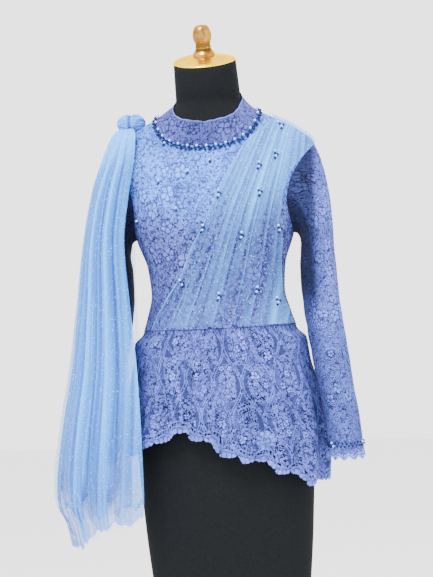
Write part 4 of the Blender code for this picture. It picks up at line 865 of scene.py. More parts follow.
def buildSleeve(name, node, start, turn, side, sign):
    middle = sleeveMiddle(start, turn, side, sign)
    spin = np.arange(sleeve["around"]) / sleeve["around"]
    normal = gridNormals(middle, closed=True)
    centre = middle.mean(axis=1, keepdims=True)
    normal = -normal if np.sum(normal * (middle - centre), -1).mean() < 0 else normal
    u = spin[None, :] * sleeve["girthMm"] + np.zeros(middle.shape[:2])
    v = surfaceLength(middle[::-1], 0)[::-1] * 1000
    # pale double cords round large flowers, clearest below the elbow; the seam is under the arm
    medal = cellField(*waver(u, v, 31.0, 2.5), sleeve["flowerGap"], 0.35, 5)
    reach = petalReach(medal, sleeve["petals"], sleeve["flowerRadius"], 0.22)
    cord, shadow = cordLine(np.abs(np.abs(medal["first"] - reach) - 2.0), 1.5)
    veins = soft(0.20, petalWave(medal, sleeve["petals"]), 0.2) * soft(reach, medal["first"], 2.0)
    strong = blendTo(0.40, 1.0, smoothStep((1.06 - middle[..., 2]) / 0.08))
    bold = strong * np.maximum.reduce([0.95 * cord, 0.85 * (shadow - cord).clip(0), 0.3 * veins])
    thread = blendTo(0.12, 0.92, cord)
    # painted shade, darkest towards the body and above the elbow; the unlined sleeve there also shows its own
    # dark inside
    deep = smoothStep((middle[..., 2] - 0.985) / 0.09) * smoothStep((1.40 - middle[..., 2]) / 0.05)
    turned = np.cos(2 * np.pi * (spin - 0.01))[None, :]
    shade = smoothStep((turned + blendTo(0.10, 0.62, deep)) / 1.05) * blendTo(0.55, 1.0, deep)
    # painted shade along the fold of the sleeve head, and a little over the lower arm
    front = smoothStep(3 * np.sin(2 * np.pi * spin))[None, :]
    fold = smoothStep((0.202 - np.abs(middle[..., 0])) / 0.016) * front
    fold = fold * smoothStep((1.345 - middle[..., 2]) / 0.03) * smoothStep((middle[..., 2] - 1.04) / 0.12)
    shade = np.maximum.reduce([shade, 0.90 * fold, 0.26 * smoothStep((1.0 - middle[..., 2]) / 0.1)])
    out = cloth / 2 + bold * (thread - 0.5) * 0.0008 - sleeveCreases(middle, spin) + sleeveShape(middle, spin)
    out[0] = cloth / 2
    points = middle + normal * out[..., None]
    facts = {"thread": thread, "bold": bold, "shade": shade, "open": 0.16}
    piece = meshFromGrid(name, points, sleeveLace, facts, closed=True, outward=normal,
                         place=np.stack([u, v], -1) / 1000, wrap=sleeve["girthMm"] / 1000)
    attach(piece, "root")
    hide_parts(node)


def buildCuffTrim(name, node, side, sign):
    spin = np.arange(cuffTrim["columns"]) / cuffTrim["columns"]
    share = np.linspace(0, 1, cuffTrim["rows"] + 1)[:, None]
    rise = cuffTrim["rise"] * (0.5 + 0.5 * np.cos(2 * np.pi * spin * cuffTrim["scallops"]))
    drop = blendTo(0.0006, cuffTrim["drop"] - rise[None, :], share)
    ring = armRing(np.full(spin.shape, sleeve["height"][0]), side, sign, spin, cloth)
    away = unitRows(armRing(np.full(spin.shape, 0.765), side, sign, spin, 0.01) - ring)
    points = ring[None] + away[None] * (cuffTrim["flare"] * share)[..., None]
    points = points + drop[..., None] * np.array([sign * cuffTrim["lean"][0], cuffTrim["lean"][1], -1.0])
    u = spin[None, :] * cuffTrim["girthMm"] + 0 * drop
    fromEdge = (cuffTrim["drop"] - rise[None, :] - drop) * 1000
    rim = np.maximum(soft(2.3, fromEdge, 1.0), 0.8 * soft(0.8, np.abs(fromEdge - 6.4), 0.9))
    cells = cellField(u, fromEdge, 5.0, 0.6, 4)
    inRows = (fromEdge > 2.9) * (fromEdge < 13) * (np.abs(fromEdge - 6.4) > 1.2)
    hole = soft(0.9, cells["first"], 0.7) * inRows
    whole = np.clip(1 - hole, 0, 1) + 0 * u
    # painted shade at the top of the trim, where it hangs under the sleeve's edge
    shade = smoothStep((9 - drop * 1000) / 5)
    facts = {"thread": 0.95, "bold": rim, "shade": shade, "open": 0.3, "whole": whole}
    piece = meshFromGrid(name, points, trimLace, facts, closed=True,
                         outward=points - points.mean(axis=1, keepdims=True),
                         place=np.stack([u, fromEdge], -1) / 1000, wrap=cuffTrim["girthMm"] / 1000)
    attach(piece, "root")
    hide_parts(node)


buildSleeve("sleeveLeftLace", "sleeve_left", 0.0, 1.0, "leftX", 1.0)
buildSleeve("sleeveRightLace", "sleeve_right", 180.0, -1.0, "rightX", -1.0)
buildCuffTrim("cuffTrimLeftLace", "cuff_trim_left", "leftX", 1.0)
buildCuffTrim("cuffTrimRightLace", "cuff_trim_right", "rightX", -1.0)
print("sleeves ready")


# peplum: its outline by height, its flutes and its scalloped hem
peplum = {
    "height": [0.690, 0.741, 0.779, 0.817, 0.855, 0.893, 0.930, 0.969, 0.994],
    "halfWidth": [0.1885, 0.1930, 0.195, 0.191, 0.185, 0.176, 0.167, 0.162, 0.144],
    "front": [-0.144, -0.143, -0.141, -0.138, -0.134, -0.129, -0.122, -0.115, -0.106],
    "back": [0.154, 0.152, 0.149, 0.145, 0.140, 0.132, 0.121, 0.110, 0.099],
    "sideY": 0.004, "springOut": 0.026, "flute": 0.0065, "fluteFall": 0.25, "flutes": 16,
    # lowest line of the scallops: x and height across the front, then angle and height round the back
    "frontX": [-0.199, -0.170, -0.1379, -0.1265, -0.079, -0.077, -0.0545, -0.0500, -0.0070, 0.0040,
               0.0409, 0.0494, 0.0911, 0.1061, 0.1431, 0.1611, 0.1747, 0.1806, 0.1911, 0.1960],
    "frontHem": [0.760, 0.768, 0.7775, 0.7820, 0.7945, 0.8060, 0.8070, 0.7935, 0.7885, 0.7620, 0.7594,
                 0.7485, 0.7500, 0.7265, 0.7220, 0.6970, 0.6965, 0.7040, 0.6960, 0.7000],
    "backAngle": [180, 215, 270, 320, 360],
    "backHem": [0.7560, 0.7400, 0.7200, 0.7040, 0.7000],
    "scallops": 24, "scallopDrop": 0.0085, "frontColumns": 330, "backColumns": 116, "rows": 150,
    # shorter gathers that start at the waist seam and die out: angle, spread, depth, lowest height
    "gathers": ((34, 3.2, 0.0022, 0.93), (61, 2.6, 0.0026, 0.90), (79, 3.4, 0.0020, 0.94),
                (103, 2.8, 0.0028, 0.88), (128, 3.0, 0.0022, 0.92), (151, 3.6, 0.0026, 0.89),
                (205, 3.0, 0.0024, 0.90), (241, 3.4, 0.0026, 0.88), (292, 3.0, 0.0024, 0.91),
                (331, 3.2, 0.0026, 0.89)),
    # its drawing, in millimetres: cord frames' width, height and slant, flowers, the hem's petals and fans
    "frame": (62.0, 140.0, 0.20), "flowerGap": 82.0, "flowerRadius": 19.0, "petals": 9,
    "hemPetal": 9.4, "hemFan": 37.6,
}


def peplumSurface(angle, height, out=cloth):
    angle, height = np.broadcast_arrays(np.asarray(angle, float), np.asarray(height, float))
    turn = np.radians(angle)
    across = np.cos(turn)
    forward = np.sin(turn)
    front = peplum["sideY"] - curveThrough(peplum["height"], peplum["front"], height)
    back = curveThrough(peplum["height"], peplum["back"], height) - peplum["sideY"]
    depth = np.where(forward >= 0, front, back)
    width = curveThrough(peplum["height"], peplum["halfWidth"], height)
    square = body["squareness"]
    reach = (abs(across / width) ** square + abs(forward / depth) ** square) ** (-1 / square)
    fall = np.clip((waist - height) / peplum["fluteFall"], 0, 1)
    wave = np.sin(turn * peplum["flutes"] + 0.8 * np.sin(turn * 3)) * (0.75 + 0.25 * np.sin(turn * 5 + 1.0))
    for place, spread, amount, end in peplum["gathers"]:
        gather = np.exp(-((angle - place) / spread) ** 2) * smoothStep((waist - height) / 0.02)
        reach = reach + amount * gather * smoothStep((height - end) / 0.05)
    reach = reach + peplum["flute"] * fall * wave + out
    flared = np.stack([reach * across, peplum["sideY"] - reach * forward, height], -1)
    sewn = clothSurface(angle, np.full(angle.shape, waist), out)
    sewn[..., 2] = height
    share = smoothStep((waist - 0.0003 - height) / peplum["springOut"])
    return blendTo(sewn, flared, share[..., None])


def hemLine(angle):
    # lowest line of the cloth, stepped down towards the wearer's left as the lace's own border runs
    angle = np.mod(angle, 360)
    x = peplumSurface(np.clip(angle, 0, 180), np.full(np.shape(angle), 0.76))[..., 0]
    front = np.interp(x, peplum["frontX"], peplum["frontHem"])
    drop = peplum["scallopDrop"] * np.abs(np.sin(np.pi * angle * peplum["scallops"] / 360))
    back = curveThrough(peplum["backAngle"], peplum["backHem"], angle) - drop
    return np.where(angle <= 180, front, back)


def edgeRun(u, height, hemU, hemHeight):
    # distance in from the scalloped edge and run along it, in millimetres, rounded at the scallops' corners
    spread = 9.0
    fineU = np.linspace(hemU[0], hemU[-1], 4 * len(hemU))
    fineHem = np.interp(fineU, hemU, hemHeight)
    straight = np.full(u.shape, 99.0)
    for k in range(u.shape[0] // 2, u.shape[0]):
        straight[k] = np.min(np.hypot(u[k][:, None] - fineU, height[k][:, None] - fineHem), axis=1)
    coreU = []
    coreHeight = []
    for j in range(u.shape[1]):
        low = np.where(straight[:, j] >= spread)[0][-1]
        if low + 1 < u.shape[0]:
            share = (straight[low, j] - spread) / max(straight[low, j] - straight[low + 1, j], 1e-6)
            coreU.append(u[low, j])
            coreHeight.append(blendTo(height[low, j], height[low + 1, j], share))
    coreU = np.array(coreU)
    coreHeight = np.array(coreHeight)
    fineCore = np.linspace(coreU[0], coreU[-1], 4 * len(coreU))
    coreHeight = np.interp(fineCore, coreU, coreHeight)
    run = np.concatenate([[0], np.cumsum(np.hypot(np.diff(fineCore), np.diff(coreHeight)))])
    inside = straight.copy()
    along = u.copy()
    for k in range(u.shape[0] // 2, u.shape[0]):
        across = u[k][:, None] - fineCore
        down = coreHeight - height[k][:, None]
        away = np.hypot(across, down)
        near = np.argmin(away, axis=1)
        pick = np.arange(len(near))
        below = straight[k] < spread
        inside[k] = np.where(below, spread - away[pick, near], straight[k])
        swing = np.arctan2(across[pick, near], np.maximum(down[pick, near], 0.01))
        along[k] = run[near] + spread * swing * below
    return inside, along


def peplumFields(u, v, height, hem, close):
    # pale double cords in tall pointed frames, net at their tips, drawn flowers and a border along the hem;
    # returns how high the cord lies, how far it covers the ground, what isn't cut away and how open it is
    a, b = waver(u, v, 62.0, 10.0)
    near, far = ogeeDistance(a, b + 12, *peplum["frame"])
    cord, shadow = cordLine(np.abs(near - 2.2), 1.5)
    worn = 0.76 + 0.24 * np.sin(u / 37 + 2 * np.sin(v / 53))
    bold = np.maximum(0.90 * cord, 0.50 * (shadow - cord).clip(0)) * worn
    thread = blendTo(0.06, 0.92, cord)
    tip = soft(24.0, near + far, 3.0) * soft(-3.6, -near, 0.8)
    hatch = 0.03 + 0.20 * np.abs(np.sin(np.pi * (u + 0.7 * v) / 3.4))
    thread = blendTo(thread, hatch, tip)
    bold = np.maximum(bold, (0.66 + 0.28 * np.sin(u / 19 + v / 41)) * tip)
    big = cellField(a, b, peplum["flowerGap"], 0.5, 7)
    reach = petalReach(big, peplum["petals"], peplum["flowerRadius"], 0.26)
    shown = (big["pick"] < 0.50) * smoothStep((0.92 - height) / 0.05)
    petal = soft(reach, big["first"], 1.2) * shown * (1 - cord)
    veins = soft(0.20, petalWave(big, peplum["petals"]), 0.2)
    ring = soft(1.0, np.abs(big["first"] - 6), 0.9)
    lines = np.maximum(veins, ring) * petal
    outline = soft(1.0, np.abs(big["first"] - reach - 0.6), 1.0) * shown
    thread = blendTo(blendTo(thread, 0.72 - 0.68 * lines, petal), 0.04, outline * (1 - petal))
    bold = np.maximum.reduce([bold, 0.45 * petal, 0.75 * lines, 0.75 * outline])
    # the border: a fan of petals on each scallop, a line of cord, a row of holes and an inner cord
    inner, along = edgeRun(u, height * 1000, u[-1], hem[0] * 1000)
    lobe = np.abs(np.sin(np.pi * along / peplum["hemPetal"]))
    fan = np.abs(np.sin(np.pi * along / peplum["hemFan"]))
    inBorder = soft(17.0 + 7.5 * fan, inner, 1.6)
    petalTop = 3.6 + (3.0 + 4.6 * fan) * np.sqrt(lobe)
    band = 0.52 + 0.24 * soft(petalTop, inner, 0.8)
    band = band - 0.45 * soft(0.7, np.abs(inner - petalTop - 0.6), 0.8)
    band = band - 0.42 * soft(0.20, lobe, 0.22) * soft(9.5, inner, 1.5)
    band = band + 0.24 * soft(0.8, np.abs(inner - 8.0 - 6.6 * fan), 0.8)
    band = band + 0.22 * soft(0.8, np.abs(inner - 15.6 - 7.5 * fan), 0.8)
    dots = cellField(u, inner, 5.2, 0.3, 9)
    dot = soft(1.8, dots["first"], 0.8) * soft(2.4, np.abs(inner - 11.8 - 7.0 * fan), 1.0)
    band = band - 0.85 * dot
    thread = blendTo(thread, band.clip(0, 1), inBorder)
    bold = np.maximum(bold * (1 - inBorder), 0.72 * inBorder)
    picot = np.abs(np.sin(np.pi * along / 3.1))
    bite = 1.4 * (1 - lobe) + 1.2 * (1 - picot) + 4.2 * (1 - fan) ** 2
    whole = (1 - soft(bite, inner, 0.8)) * (1 - dot * inBorder * (1 - close))
    low = smoothStep((0.915 - height) / 0.12)
    patchy = 0.30 * np.sin(u / 23 + 1.3 * np.sin(v / 31)) + 0.20 * np.sin(v / 17 + u / 29)
    openness = np.clip(0.14 + 0.44 * low + patchy, 0.05, 1.0) * (1 - 0.7 * petal)
    return np.clip(thread, 0, 1), np.clip(bold, 0, 1), whole, openness * (1 - close)


def buildPeplum(name, node, start, end, columns):
    rows = peplum["rows"]
    angles = np.linspace(start + 0.1, end - 0.1, columns + 1)[None, :] + np.zeros((rows + 1, 1))
    share = np.linspace(0, 1, rows + 1)[:, None]
    hem = hemLine(angles)
    height = blendTo(waist - 0.0003, hem, share)
    points = peplumSurface(angles, height)
    middle = surfaceLength(peplumSurface(angles[:1], np.full(angles[:1].shape, 0.84)), 1) * 1000
    u = middle + 400 * (start / 90) + 0 * height
    v = (waist - height) * 1000
    # closer work at the sides, where the flutes turn away
    close = smoothStep((np.abs(np.cos(np.radians(angles))) - 0.89) / 0.06)
    thread, bold, whole, openness = peplumFields(u, v, height, hem, close)
    normal = gridNormals(points)
    away = (points - np.array([0, peplum["sideY"], 0])) * np.array([1, 1, 0])
    normal = normal if np.sum(normal * away) > 0 else -normal
    points = points + normal * (bold * (thread - 0.5) * 0.0011)[..., None]
    # painted shade in the flutes' valleys lower down, and darkest just under the waist seam
    turn = np.radians(angles)
    valley = np.clip(-np.sin(turn * peplum["flutes"] + 0.8 * np.sin(turn * 3)), 0, 1)
    shade = 0.22 * valley * np.clip(v / 160, 0, 1) + 0.75 * soft(1.6, v, 1.6)
    shade = shade + 0.18 * smoothStep((16 - v) / 14)
    facts = {"thread": thread, "bold": bold, "whole": whole, "open": openness, "shade": np.clip(shade, 0, 1)}
    piece = meshFromGrid(name, points, skirtLace, facts, outward=normal, place=np.stack([u, v], -1) / 1000)
    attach(piece, "root")
    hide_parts(node)


buildPeplum("peplumFrontLace", "peplum_front", 0, 180, peplum["frontColumns"])
buildPeplum("peplumBackRightLace", "peplum_back_right", 180, 270, peplum["backColumns"])
buildPeplum("peplumBackLeftLace", "peplum_back_left", 270, 360, peplum["backColumns"])
print("peplum ready")


# pleated drape from the left shoulder to the waist: its free edge from the front, and its side seam
drape = {
    "edgeX": [0.0870, 0.0610, 0.0364, 0.0162, -0.0061, -0.0269, -0.0532, -0.0782, -0.1080, -0.1180],
    "edgeHeight": [1.3440, 1.3094, 1.2668, 1.2252, 1.1811, 1.1478, 1.0946, 1.0608, 1.0179, 0.9980],
    "sideHeight": [0.9950, 1.0500, 1.1100, 1.1650, 1.2000, 1.2300, 1.2700, 1.3100, 1.3330],
    "sideAngle": [9.0, 12.0, 17.0, 24.0, 27.0, 27.5, 24.0, 14.0, 5.0],
    "top": 1.3903, "foot": 0.9960, "layGap": 0.0018, "hump": 0.0030, "columns": 220, "rows": 200,
    "humpEnds": (0.6, 1.4),
    # ends of the pleat lines seen from the front, x and height: neck side, shoulder tip, right and left waist
    "pleatTop": ((0.0860, 1.3960), (0.1820, 1.3460)), "pleatFoot": ((-0.1180, 0.9960), (0.1400, 0.9960)),
    # pleats: place across, width, height, how far down each runs
    "pleats": ((0.022, 0.026, 1.1, 1.0), (0.085, 0.050, 0.7, 1.0), (0.150, 0.022, 0.9, 1.0),
               (0.205, 0.044, 0.5, 0.8), (0.268, 0.024, 1.0, 1.0), (0.330, 0.050, 0.6, 1.0),
               (0.392, 0.020, 0.8, 0.7), (0.452, 0.036, 0.9, 1.0), (0.540, 0.060, 0.6, 1.0),
               (0.588, 0.020, 0.9, 1.0), (0.655, 0.046, 0.5, 0.9), (0.712, 0.026, 1.0, 1.0),
               (0.800, 0.060, 0.5, 1.0), (0.880, 0.080, 0.6, 1.0), (0.972, 0.026, 0.9, 1.0)),
    "gathers": 34,            # finer folds between the pleats
}


def drapeSpots():
    lift = cloth + drape["layGap"]
    heights = np.array([drape["top"]] + drape["edgeHeight"])
    angles = np.concatenate([[drape["sideAngle"][-1]],
                             angleAtX(np.array(drape["edgeX"]), np.array(drape["edgeHeight"]), lift)])
    corner = clothSurface(angles, heights, 0.0)
    run = np.concatenate([[0], np.cumsum(np.linalg.norm(np.diff(corner, axis=0), axis=-1))])
    v = np.linspace(0, 1, drape["rows"] + 1)
    free = np.stack([curveThrough(run / run[-1], angles, v), curveThrough(run / run[-1], heights, v)], -1)
    sideHeight = blendTo(drape["sideHeight"][-1], drape["foot"], v)
    seam = np.stack([curveThrough(drape["sideHeight"], drape["sideAngle"], sideHeight), sideHeight], -1)
    u = np.linspace(0, 1, drape["columns"] + 1)[:, None]
    return fillPatch(blendTo(free[0], seam[0], u), blendTo(free[-1], seam[-1], u), free, seam), lift


def pleatPlace(x, height):
    # share across the drape of the straight pleat line through each point
    low = np.full(x.shape, -0.4)
    high = np.full(x.shape, 1.4)
    (topA, topB), (footA, footB) = np.array(drape["pleatTop"]), np.array(drape["pleatFoot"])
    for _ in range(26):
        middle = (low + high) / 2
        top = topA + middle[..., None] * (topB - topA)
        way = footA + middle[..., None] * (footB - footA) - top
        right = way[..., 0] * (height - top[..., 1]) - way[..., 1] * (x - top[..., 0]) > 0
        low = np.where(right, middle, low)
        high = np.where(right, high, middle)
    return (low + high) / 2


def buildDrape():
    spots, lift = drapeSpots()
    rows, columns = spots.shape[:2]
    v = np.linspace(0, 1, rows)[:, None]
    edge = np.linspace(0, 1, columns)[None, :]
    flat = clothSurface(spots[..., 0], spots[..., 1], lift)
    u = pleatPlace(flat[..., 0], flat[..., 2])
    u = u + 0.006 * np.sin(6.0 * v + 9.0 * u) * v
    ridge = np.zeros((rows, columns))
    creaseShadow = np.zeros((rows, columns))
    for place, wide, tall, end in drape["pleats"]:
        fade = smoothStep((end + 0.06 - v) / 0.12)
        away = (u - place) / (wide * blendTo(0.85, 1.1, v))
        # a knife pleat: a slow rise to its free edge, then a sharp fold under
        rise = np.where(away < 0, np.clip(1 + away / 1.2, 0, 1) ** 1.4, np.clip(1 - away / 0.30, 0, 1))
        ridge = np.maximum(ridge, rise * tall * fade)
        # the crease under each pleat, kept for its painted shadow
        creaseShadow = np.maximum(creaseShadow, np.exp(-((away - 0.42) / 0.22) ** 2) * fade * tall)
    # finer gathers between the pleats, run out unevenly
    for k in range(drape["gathers"]):
        place, sway, begin, end, tall = chance[k, 3:8, 0]
        spread = smoothStep((v - begin * 0.6) / 0.10) * smoothStep((0.45 + 0.6 * end - v) / 0.15)
        slant = place + 0.05 * (sway - 0.5) * v
        ridge = ridge + (0.12 + 0.16 * tall) * np.exp(-((u - slant) / 0.006) ** 2) * spread
    hump = drape["hump"] * blendTo(*drape["humpEnds"], edge ** 3) * smoothStep(1.0 - 3.0 * v)
    out = lift + hump + blendTo(0.0012, 0.0022, v) * np.clip(ridge, 0, 1.1) + 0.0011
    points = clothSurface(spots[..., 0], spots[..., 1], out)
    # palest near the shoulder and beside the left seam, where folds lie double and the light from above is
    # painted in;
    # paler along the pleats where they lie double and along the gathers as painted light; painted shadow in
    # the crease under each pleat; sheerest low in the middle
    height = points[..., 2]
    doubledAndLit = np.maximum(smoothStep((height - 1.14) / 0.15), 0.8 * smoothStep((u - 0.80) / 0.10))
    drift = 0.14 * np.sin(11 * u + 5 * v) + 0.12 * np.sin(27 * u - 6 * v + 2) + 0.08 * np.sin(61 * u + 4 * v)
    cover = 0.32 + drift + 0.38 * ridge - 0.36 * creaseShadow
    cover = np.clip(blendTo(cover * 0.84 - 0.04, cover * 0.60 + 0.46, doubledAndLit), 0, 1)
    cover = np.maximum(cover, 0.9 * smoothStep((0.012 - edge) / 0.008))
    piece = meshFromGrid("pleatedDrapeTulle", points, drapeTulle, {"cover": cover},
                         outward=formNormal(spots[..., 0], spots[..., 1]))
    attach(piece, "root")
    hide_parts("front_drape")


buildDrape()
print("drape ready")


# hanging tulle, sheer layers gathered under the pompom: lines of the fall by height, and its folds' depth
tulle = {
    "height": [0.5900, 0.6400, 0.6700, 0.6970, 0.8125, 0.9276, 1.0426, 1.1574, 1.2487, 1.3166, 1.3600,
               1.3720, 1.3800],
    "frontX": [-0.1400, -0.1380, -0.1350, -0.1330, -0.1340, -0.1400, -0.1500, -0.1570, -0.1460, -0.1360,
               -0.1340, -0.1400, -0.1480],
    "frontY": [-0.1450, -0.1450, -0.1440, -0.1430, -0.1360, -0.1180, -0.1060, -0.0980, -0.0880, -0.0700,
               -0.0570, -0.0330, -0.0064],
    "outerX": [-0.3020, -0.3130, -0.3280, -0.3310, -0.3150, -0.2930, -0.2740, -0.2560, -0.2370, -0.2150,
               -0.1950, -0.1880, -0.1802],
    "backX": [-0.1820, -0.1800, -0.1790, -0.1780, -0.1740, -0.1800, -0.1800, -0.1760, -0.1620, -0.1560,
              -0.1520, -0.1500, -0.1500],
    "backY": [0.1420, 0.1420, 0.1410, 0.1400, 0.1330, 0.1220, 0.1100, 0.1020, 0.0960, 0.0860, 0.0660,
              0.0540, 0.0376],
    "fold": [0.0120, 0.0117, 0.0114, 0.0112, 0.0100, 0.0086, 0.0072, 0.0058, 0.0046, 0.0036, 0.0022,
             0.0014, 0.0007],
    "columns": 180, "rows": 84, "crowding": 1.6,
}
# each layer's share round the fall, how far it is set in from the outermost, and its hem by share
tulleLayers = (
    {"name": "tulleFrontOuter", "node": "tulle_front", "span": (0.0, 0.52), "inset": 0.0000, "seed": 1,
     "flat": (0.33, 0.82), "area": 0.225,
     "hemShare": [0.0, 0.10, 0.20, 0.28, 0.34, 0.40, 0.46, 0.52],
     "hem": [0.652, 0.640, 0.622, 0.600, 0.592, 0.612, 0.650, 0.674]},
    {"name": "tulleFrontMiddle", "node": None, "span": (0.02, 0.36), "inset": 0.0030, "seed": 2,
     "flat": (0.22, 0.80), "area": 0.125,
     "hemShare": [0.0, 0.12, 0.20, 0.26, 0.31, 0.36],
     "hem": [0.640, 0.632, 0.610, 0.606, 0.640, 0.690]},
    {"name": "tulleFrontInner", "node": None, "span": (0.03, 0.28), "inset": 0.0062, "seed": 3,
     "flat": (0.17, 0.76), "area": 0.095,
     "hemShare": [0.0, 0.10, 0.18, 0.23, 0.28],
     "hem": [0.668, 0.650, 0.640, 0.655, 0.700]},
    {"name": "tulleBackOuter", "node": "tulle_back", "span": (0.50, 1.0), "inset": 0.0004, "seed": 4,
     "flat": (0.31, 0.79), "area": 0.205,
     "hemShare": [0.50, 0.56, 0.66, 0.80, 0.90, 1.0],
     "hem": [0.674, 0.658, 0.630, 0.618, 0.626, 0.640]},
    {"name": "tulleBackInner", "node": None, "span": (0.60, 0.98), "inset": 0.0040, "seed": 5,
     "flat": (0.24, 0.77), "area": 0.145,
     "hemShare": [0.60, 0.66, 0.74, 0.86, 1.0],
     "hem": [0.690, 0.668, 0.650, 0.640, 0.655]},
)


def fallLine(share, height):
    column = {name: curveThrough(tulle["height"], tulle[name], height)
              for name in ("frontX", "frontY", "outerX", "backX", "backY")}
    x, y = [(column[front] + column[back]) / 2 + (column[front] - column[back]) / 2 * np.cos(np.pi * share)
            for front, back in (("frontX", "backX"), ("frontY", "backY"))]
    bow = np.clip(np.sin(np.pi * share), 0, 1) ** 0.75
    return np.stack([x + (column["outerX"] - (column["frontX"] + column["backX"]) / 2) * bow, y, height], -1)


def buildTulle(layer):
    share = np.linspace(*layer["span"], tulle["columns"] + 1)[None, :]
    down = np.linspace(0, 1, tulle["rows"] + 1)[:, None] ** tulle["crowding"]
    hem = curveThrough(layer["hemShare"], layer["hem"], share)
    seed = layer["seed"]
    ragged = 0.0045 * np.sin(share * 74 + 2.1 * seed) + 0.0030 * np.sin(share * 163 + seed)
    ragged = ragged + 0.0012 * np.sin(share * 531)
    height = blendTo(1.3800 - 0.0004 * seed, hem + ragged, down)
    share = share + 0 * height
    middle = fallLine(share, height)
    along = fallLine(np.clip(share + 0.01, 0, 1), height) - fallLine(np.clip(share - 0.01, 0, 1), height)
    normal = unitRows(np.stack([-along[..., 1], along[..., 0], 0 * share], -1))
    inwards = np.where(share >= 0.85, normal[..., 1] < 0, normal[..., 0] > 0)
    flip = np.where(share <= 0.15, normal[..., 1] > 0, inwards)
    normal = np.where(flip[..., None], -normal, normal)
    fold = curveThrough(tulle["height"], tulle["fold"], height)
    # long uneven folds: each layer drifts and splits in its own way on the way down
    place = share + 0.012 * np.sin(5 * share + 2 * down + seed)
    place = place + 0.006 * np.sin(11 * share - 3 * down + 2 * seed)
    broad = np.sin(2 * np.pi * 9.5 * place + 0.9 * seed)
    middling = np.sin(2 * np.pi * 17.3 * place + 1.7 * seed + 1.2 * down)
    narrow = np.sin(2 * np.pi * 37.1 * place - 0.8 * seed + 2.0 * np.sin(4 * down))
    fine = np.sin(2 * np.pi * 71.0 * place + 2.3 * seed + 1.5 * np.sin(3 * down + seed))
    wave = 0.46 * broad + 0.36 * middling * (1 - 0.3 * down) + 0.20 * narrow + 0.06 * fine
    out = fold * wave * 0.92 - layer["inset"] * smoothStep(down * 4)
    points = middle + normal * out[..., None]
    # covers most where the cloth turns edge-on; paler on the folds' crests and deeper in their hollows, as
    # painted light and shade that follow the folds' own waves, with a fine painted glint along the finest
    # folds
    turned = np.clip(np.abs(np.gradient(wave, axis=1)) * tulle["columns"] / 60, 0, 1)
    fineGlint = 0.10 * fine * (0.6 + 0.4 * np.sin(40 * share + 3 * seed))
    cover = 0.60 + 0.14 * turned + 0.85 * (0.20 * broad + 0.14 * middling + 0.12 * narrow + fineGlint)
    # the outermost turn and the free back edge hang single, so they show the palest
    cover = np.maximum(cover, 0.36)
    outermost = 1 - smoothStep((np.abs(share - 0.5) - 0.11) / 0.10)
    cover = cover * (1 - 0.74 * outermost * smoothStep((1.34 - height) / 0.10))
    cover = cover * (1 - 0.9 * smoothStep((share - 0.82) / 0.10))
    cover = cover + 0.12 * smoothStep((down - 0.4) / 0.3) * smoothStep((0.36 - share) / 0.08)
    cover = cover * blendTo(1.05, 0.74, smoothStep((down - 0.45) / 0.5))
    cover = cover + 0.30 * smoothStep((0.12 - down) / 0.10)
    cover = np.maximum(cover, 0.75 * smoothStep((down - 0.994) / 0.004))
    cover = cover if layer["node"] else cover * (1 - 0.8 * smoothStep((down - 0.86) / 0.13))
    piece = meshFromGrid(layer["name"], points, fallTulle, {"cover": np.clip(cover, 0.10, 1)}, outward=normal)
    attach(piece, "root")
    if layer["node"]:
        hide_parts(layer["node"])


for layer in tulleLayers:
    buildTulle(layer)
print("hanging tulle ready")


# pompom of gathered tulle, tied in the middle
pompom = {
    "centre": (-0.1550, 0.0160, 1.3915), "size": (0.0270, 0.0250, 0.0180), "groove": 0.16,
    "around": 240, "rings": 90, "ruffle": 0.0022,
}


def buildPompom():
    polar = np.linspace(0.02, np.pi - 0.02, pompom["rings"] + 1)[:, None]
    turn = np.linspace(0, 2 * np.pi, pompom["around"], endpoint=False)[None, :]
    wide = np.sin(polar)
    side = np.cos(turn) * wide
    # crumpled gathers that run from the tie in the middle out over each lobe
    spin = np.arctan2(np.cos(polar), np.sin(turn) * wide + 1e-6)
    folds = (0.6 * np.sin(9 * spin + 5 * np.abs(side) + 1.3 * np.sin(3 * spin))
             + 0.5 * np.sin(17 * spin - 7 * np.abs(side) + 2.0 * np.sin(2 * spin + 1))
             + 0.3 * np.sin(31 * spin + 9 * side))
    fade = smoothStep(np.abs(side) / 0.25)
    puff = 0.5 * np.sin(6 * side + 4 * spin) + 0.5 * np.sin(5 * spin + 11 * side)
    deeper = 0.65 + 0.35 * np.clip(-np.sin(turn), 0, 1)
    groove = pompom["groove"] * 1.15 * np.exp(-(side / 0.11) ** 2) * deeper
    swell = 1.0 - groove + 0.035 * puff * fade
    depth = pompom["ruffle"] * 0.45 * folds * fade * smoothStep(wide / 0.3)
    size = pompom["size"]
    points = np.stack([(size[0] * swell + depth) * wide * np.cos(turn),
                       (size[1] * swell + depth) * wide * np.sin(turn),
                       (size[2] * swell + depth) * np.cos(polar) + 0 * turn], -1)
    # paler on the gathers' crests and the puffed lobes as painted light, and deeper in the tie's groove as
    # painted shade
    cover = np.clip(0.66 + 0.20 * folds * fade + 0.12 * puff - 3.0 * groove, 0, 1)
    piece = meshFromGrid("shoulderPompom", points + np.array(pompom["centre"]), pompomTulle, {"cover": cover},
                         closed=True, outward=points)
    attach(piece, "root")
    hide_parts("pompom")


buildPompom()
print("pompom ready")


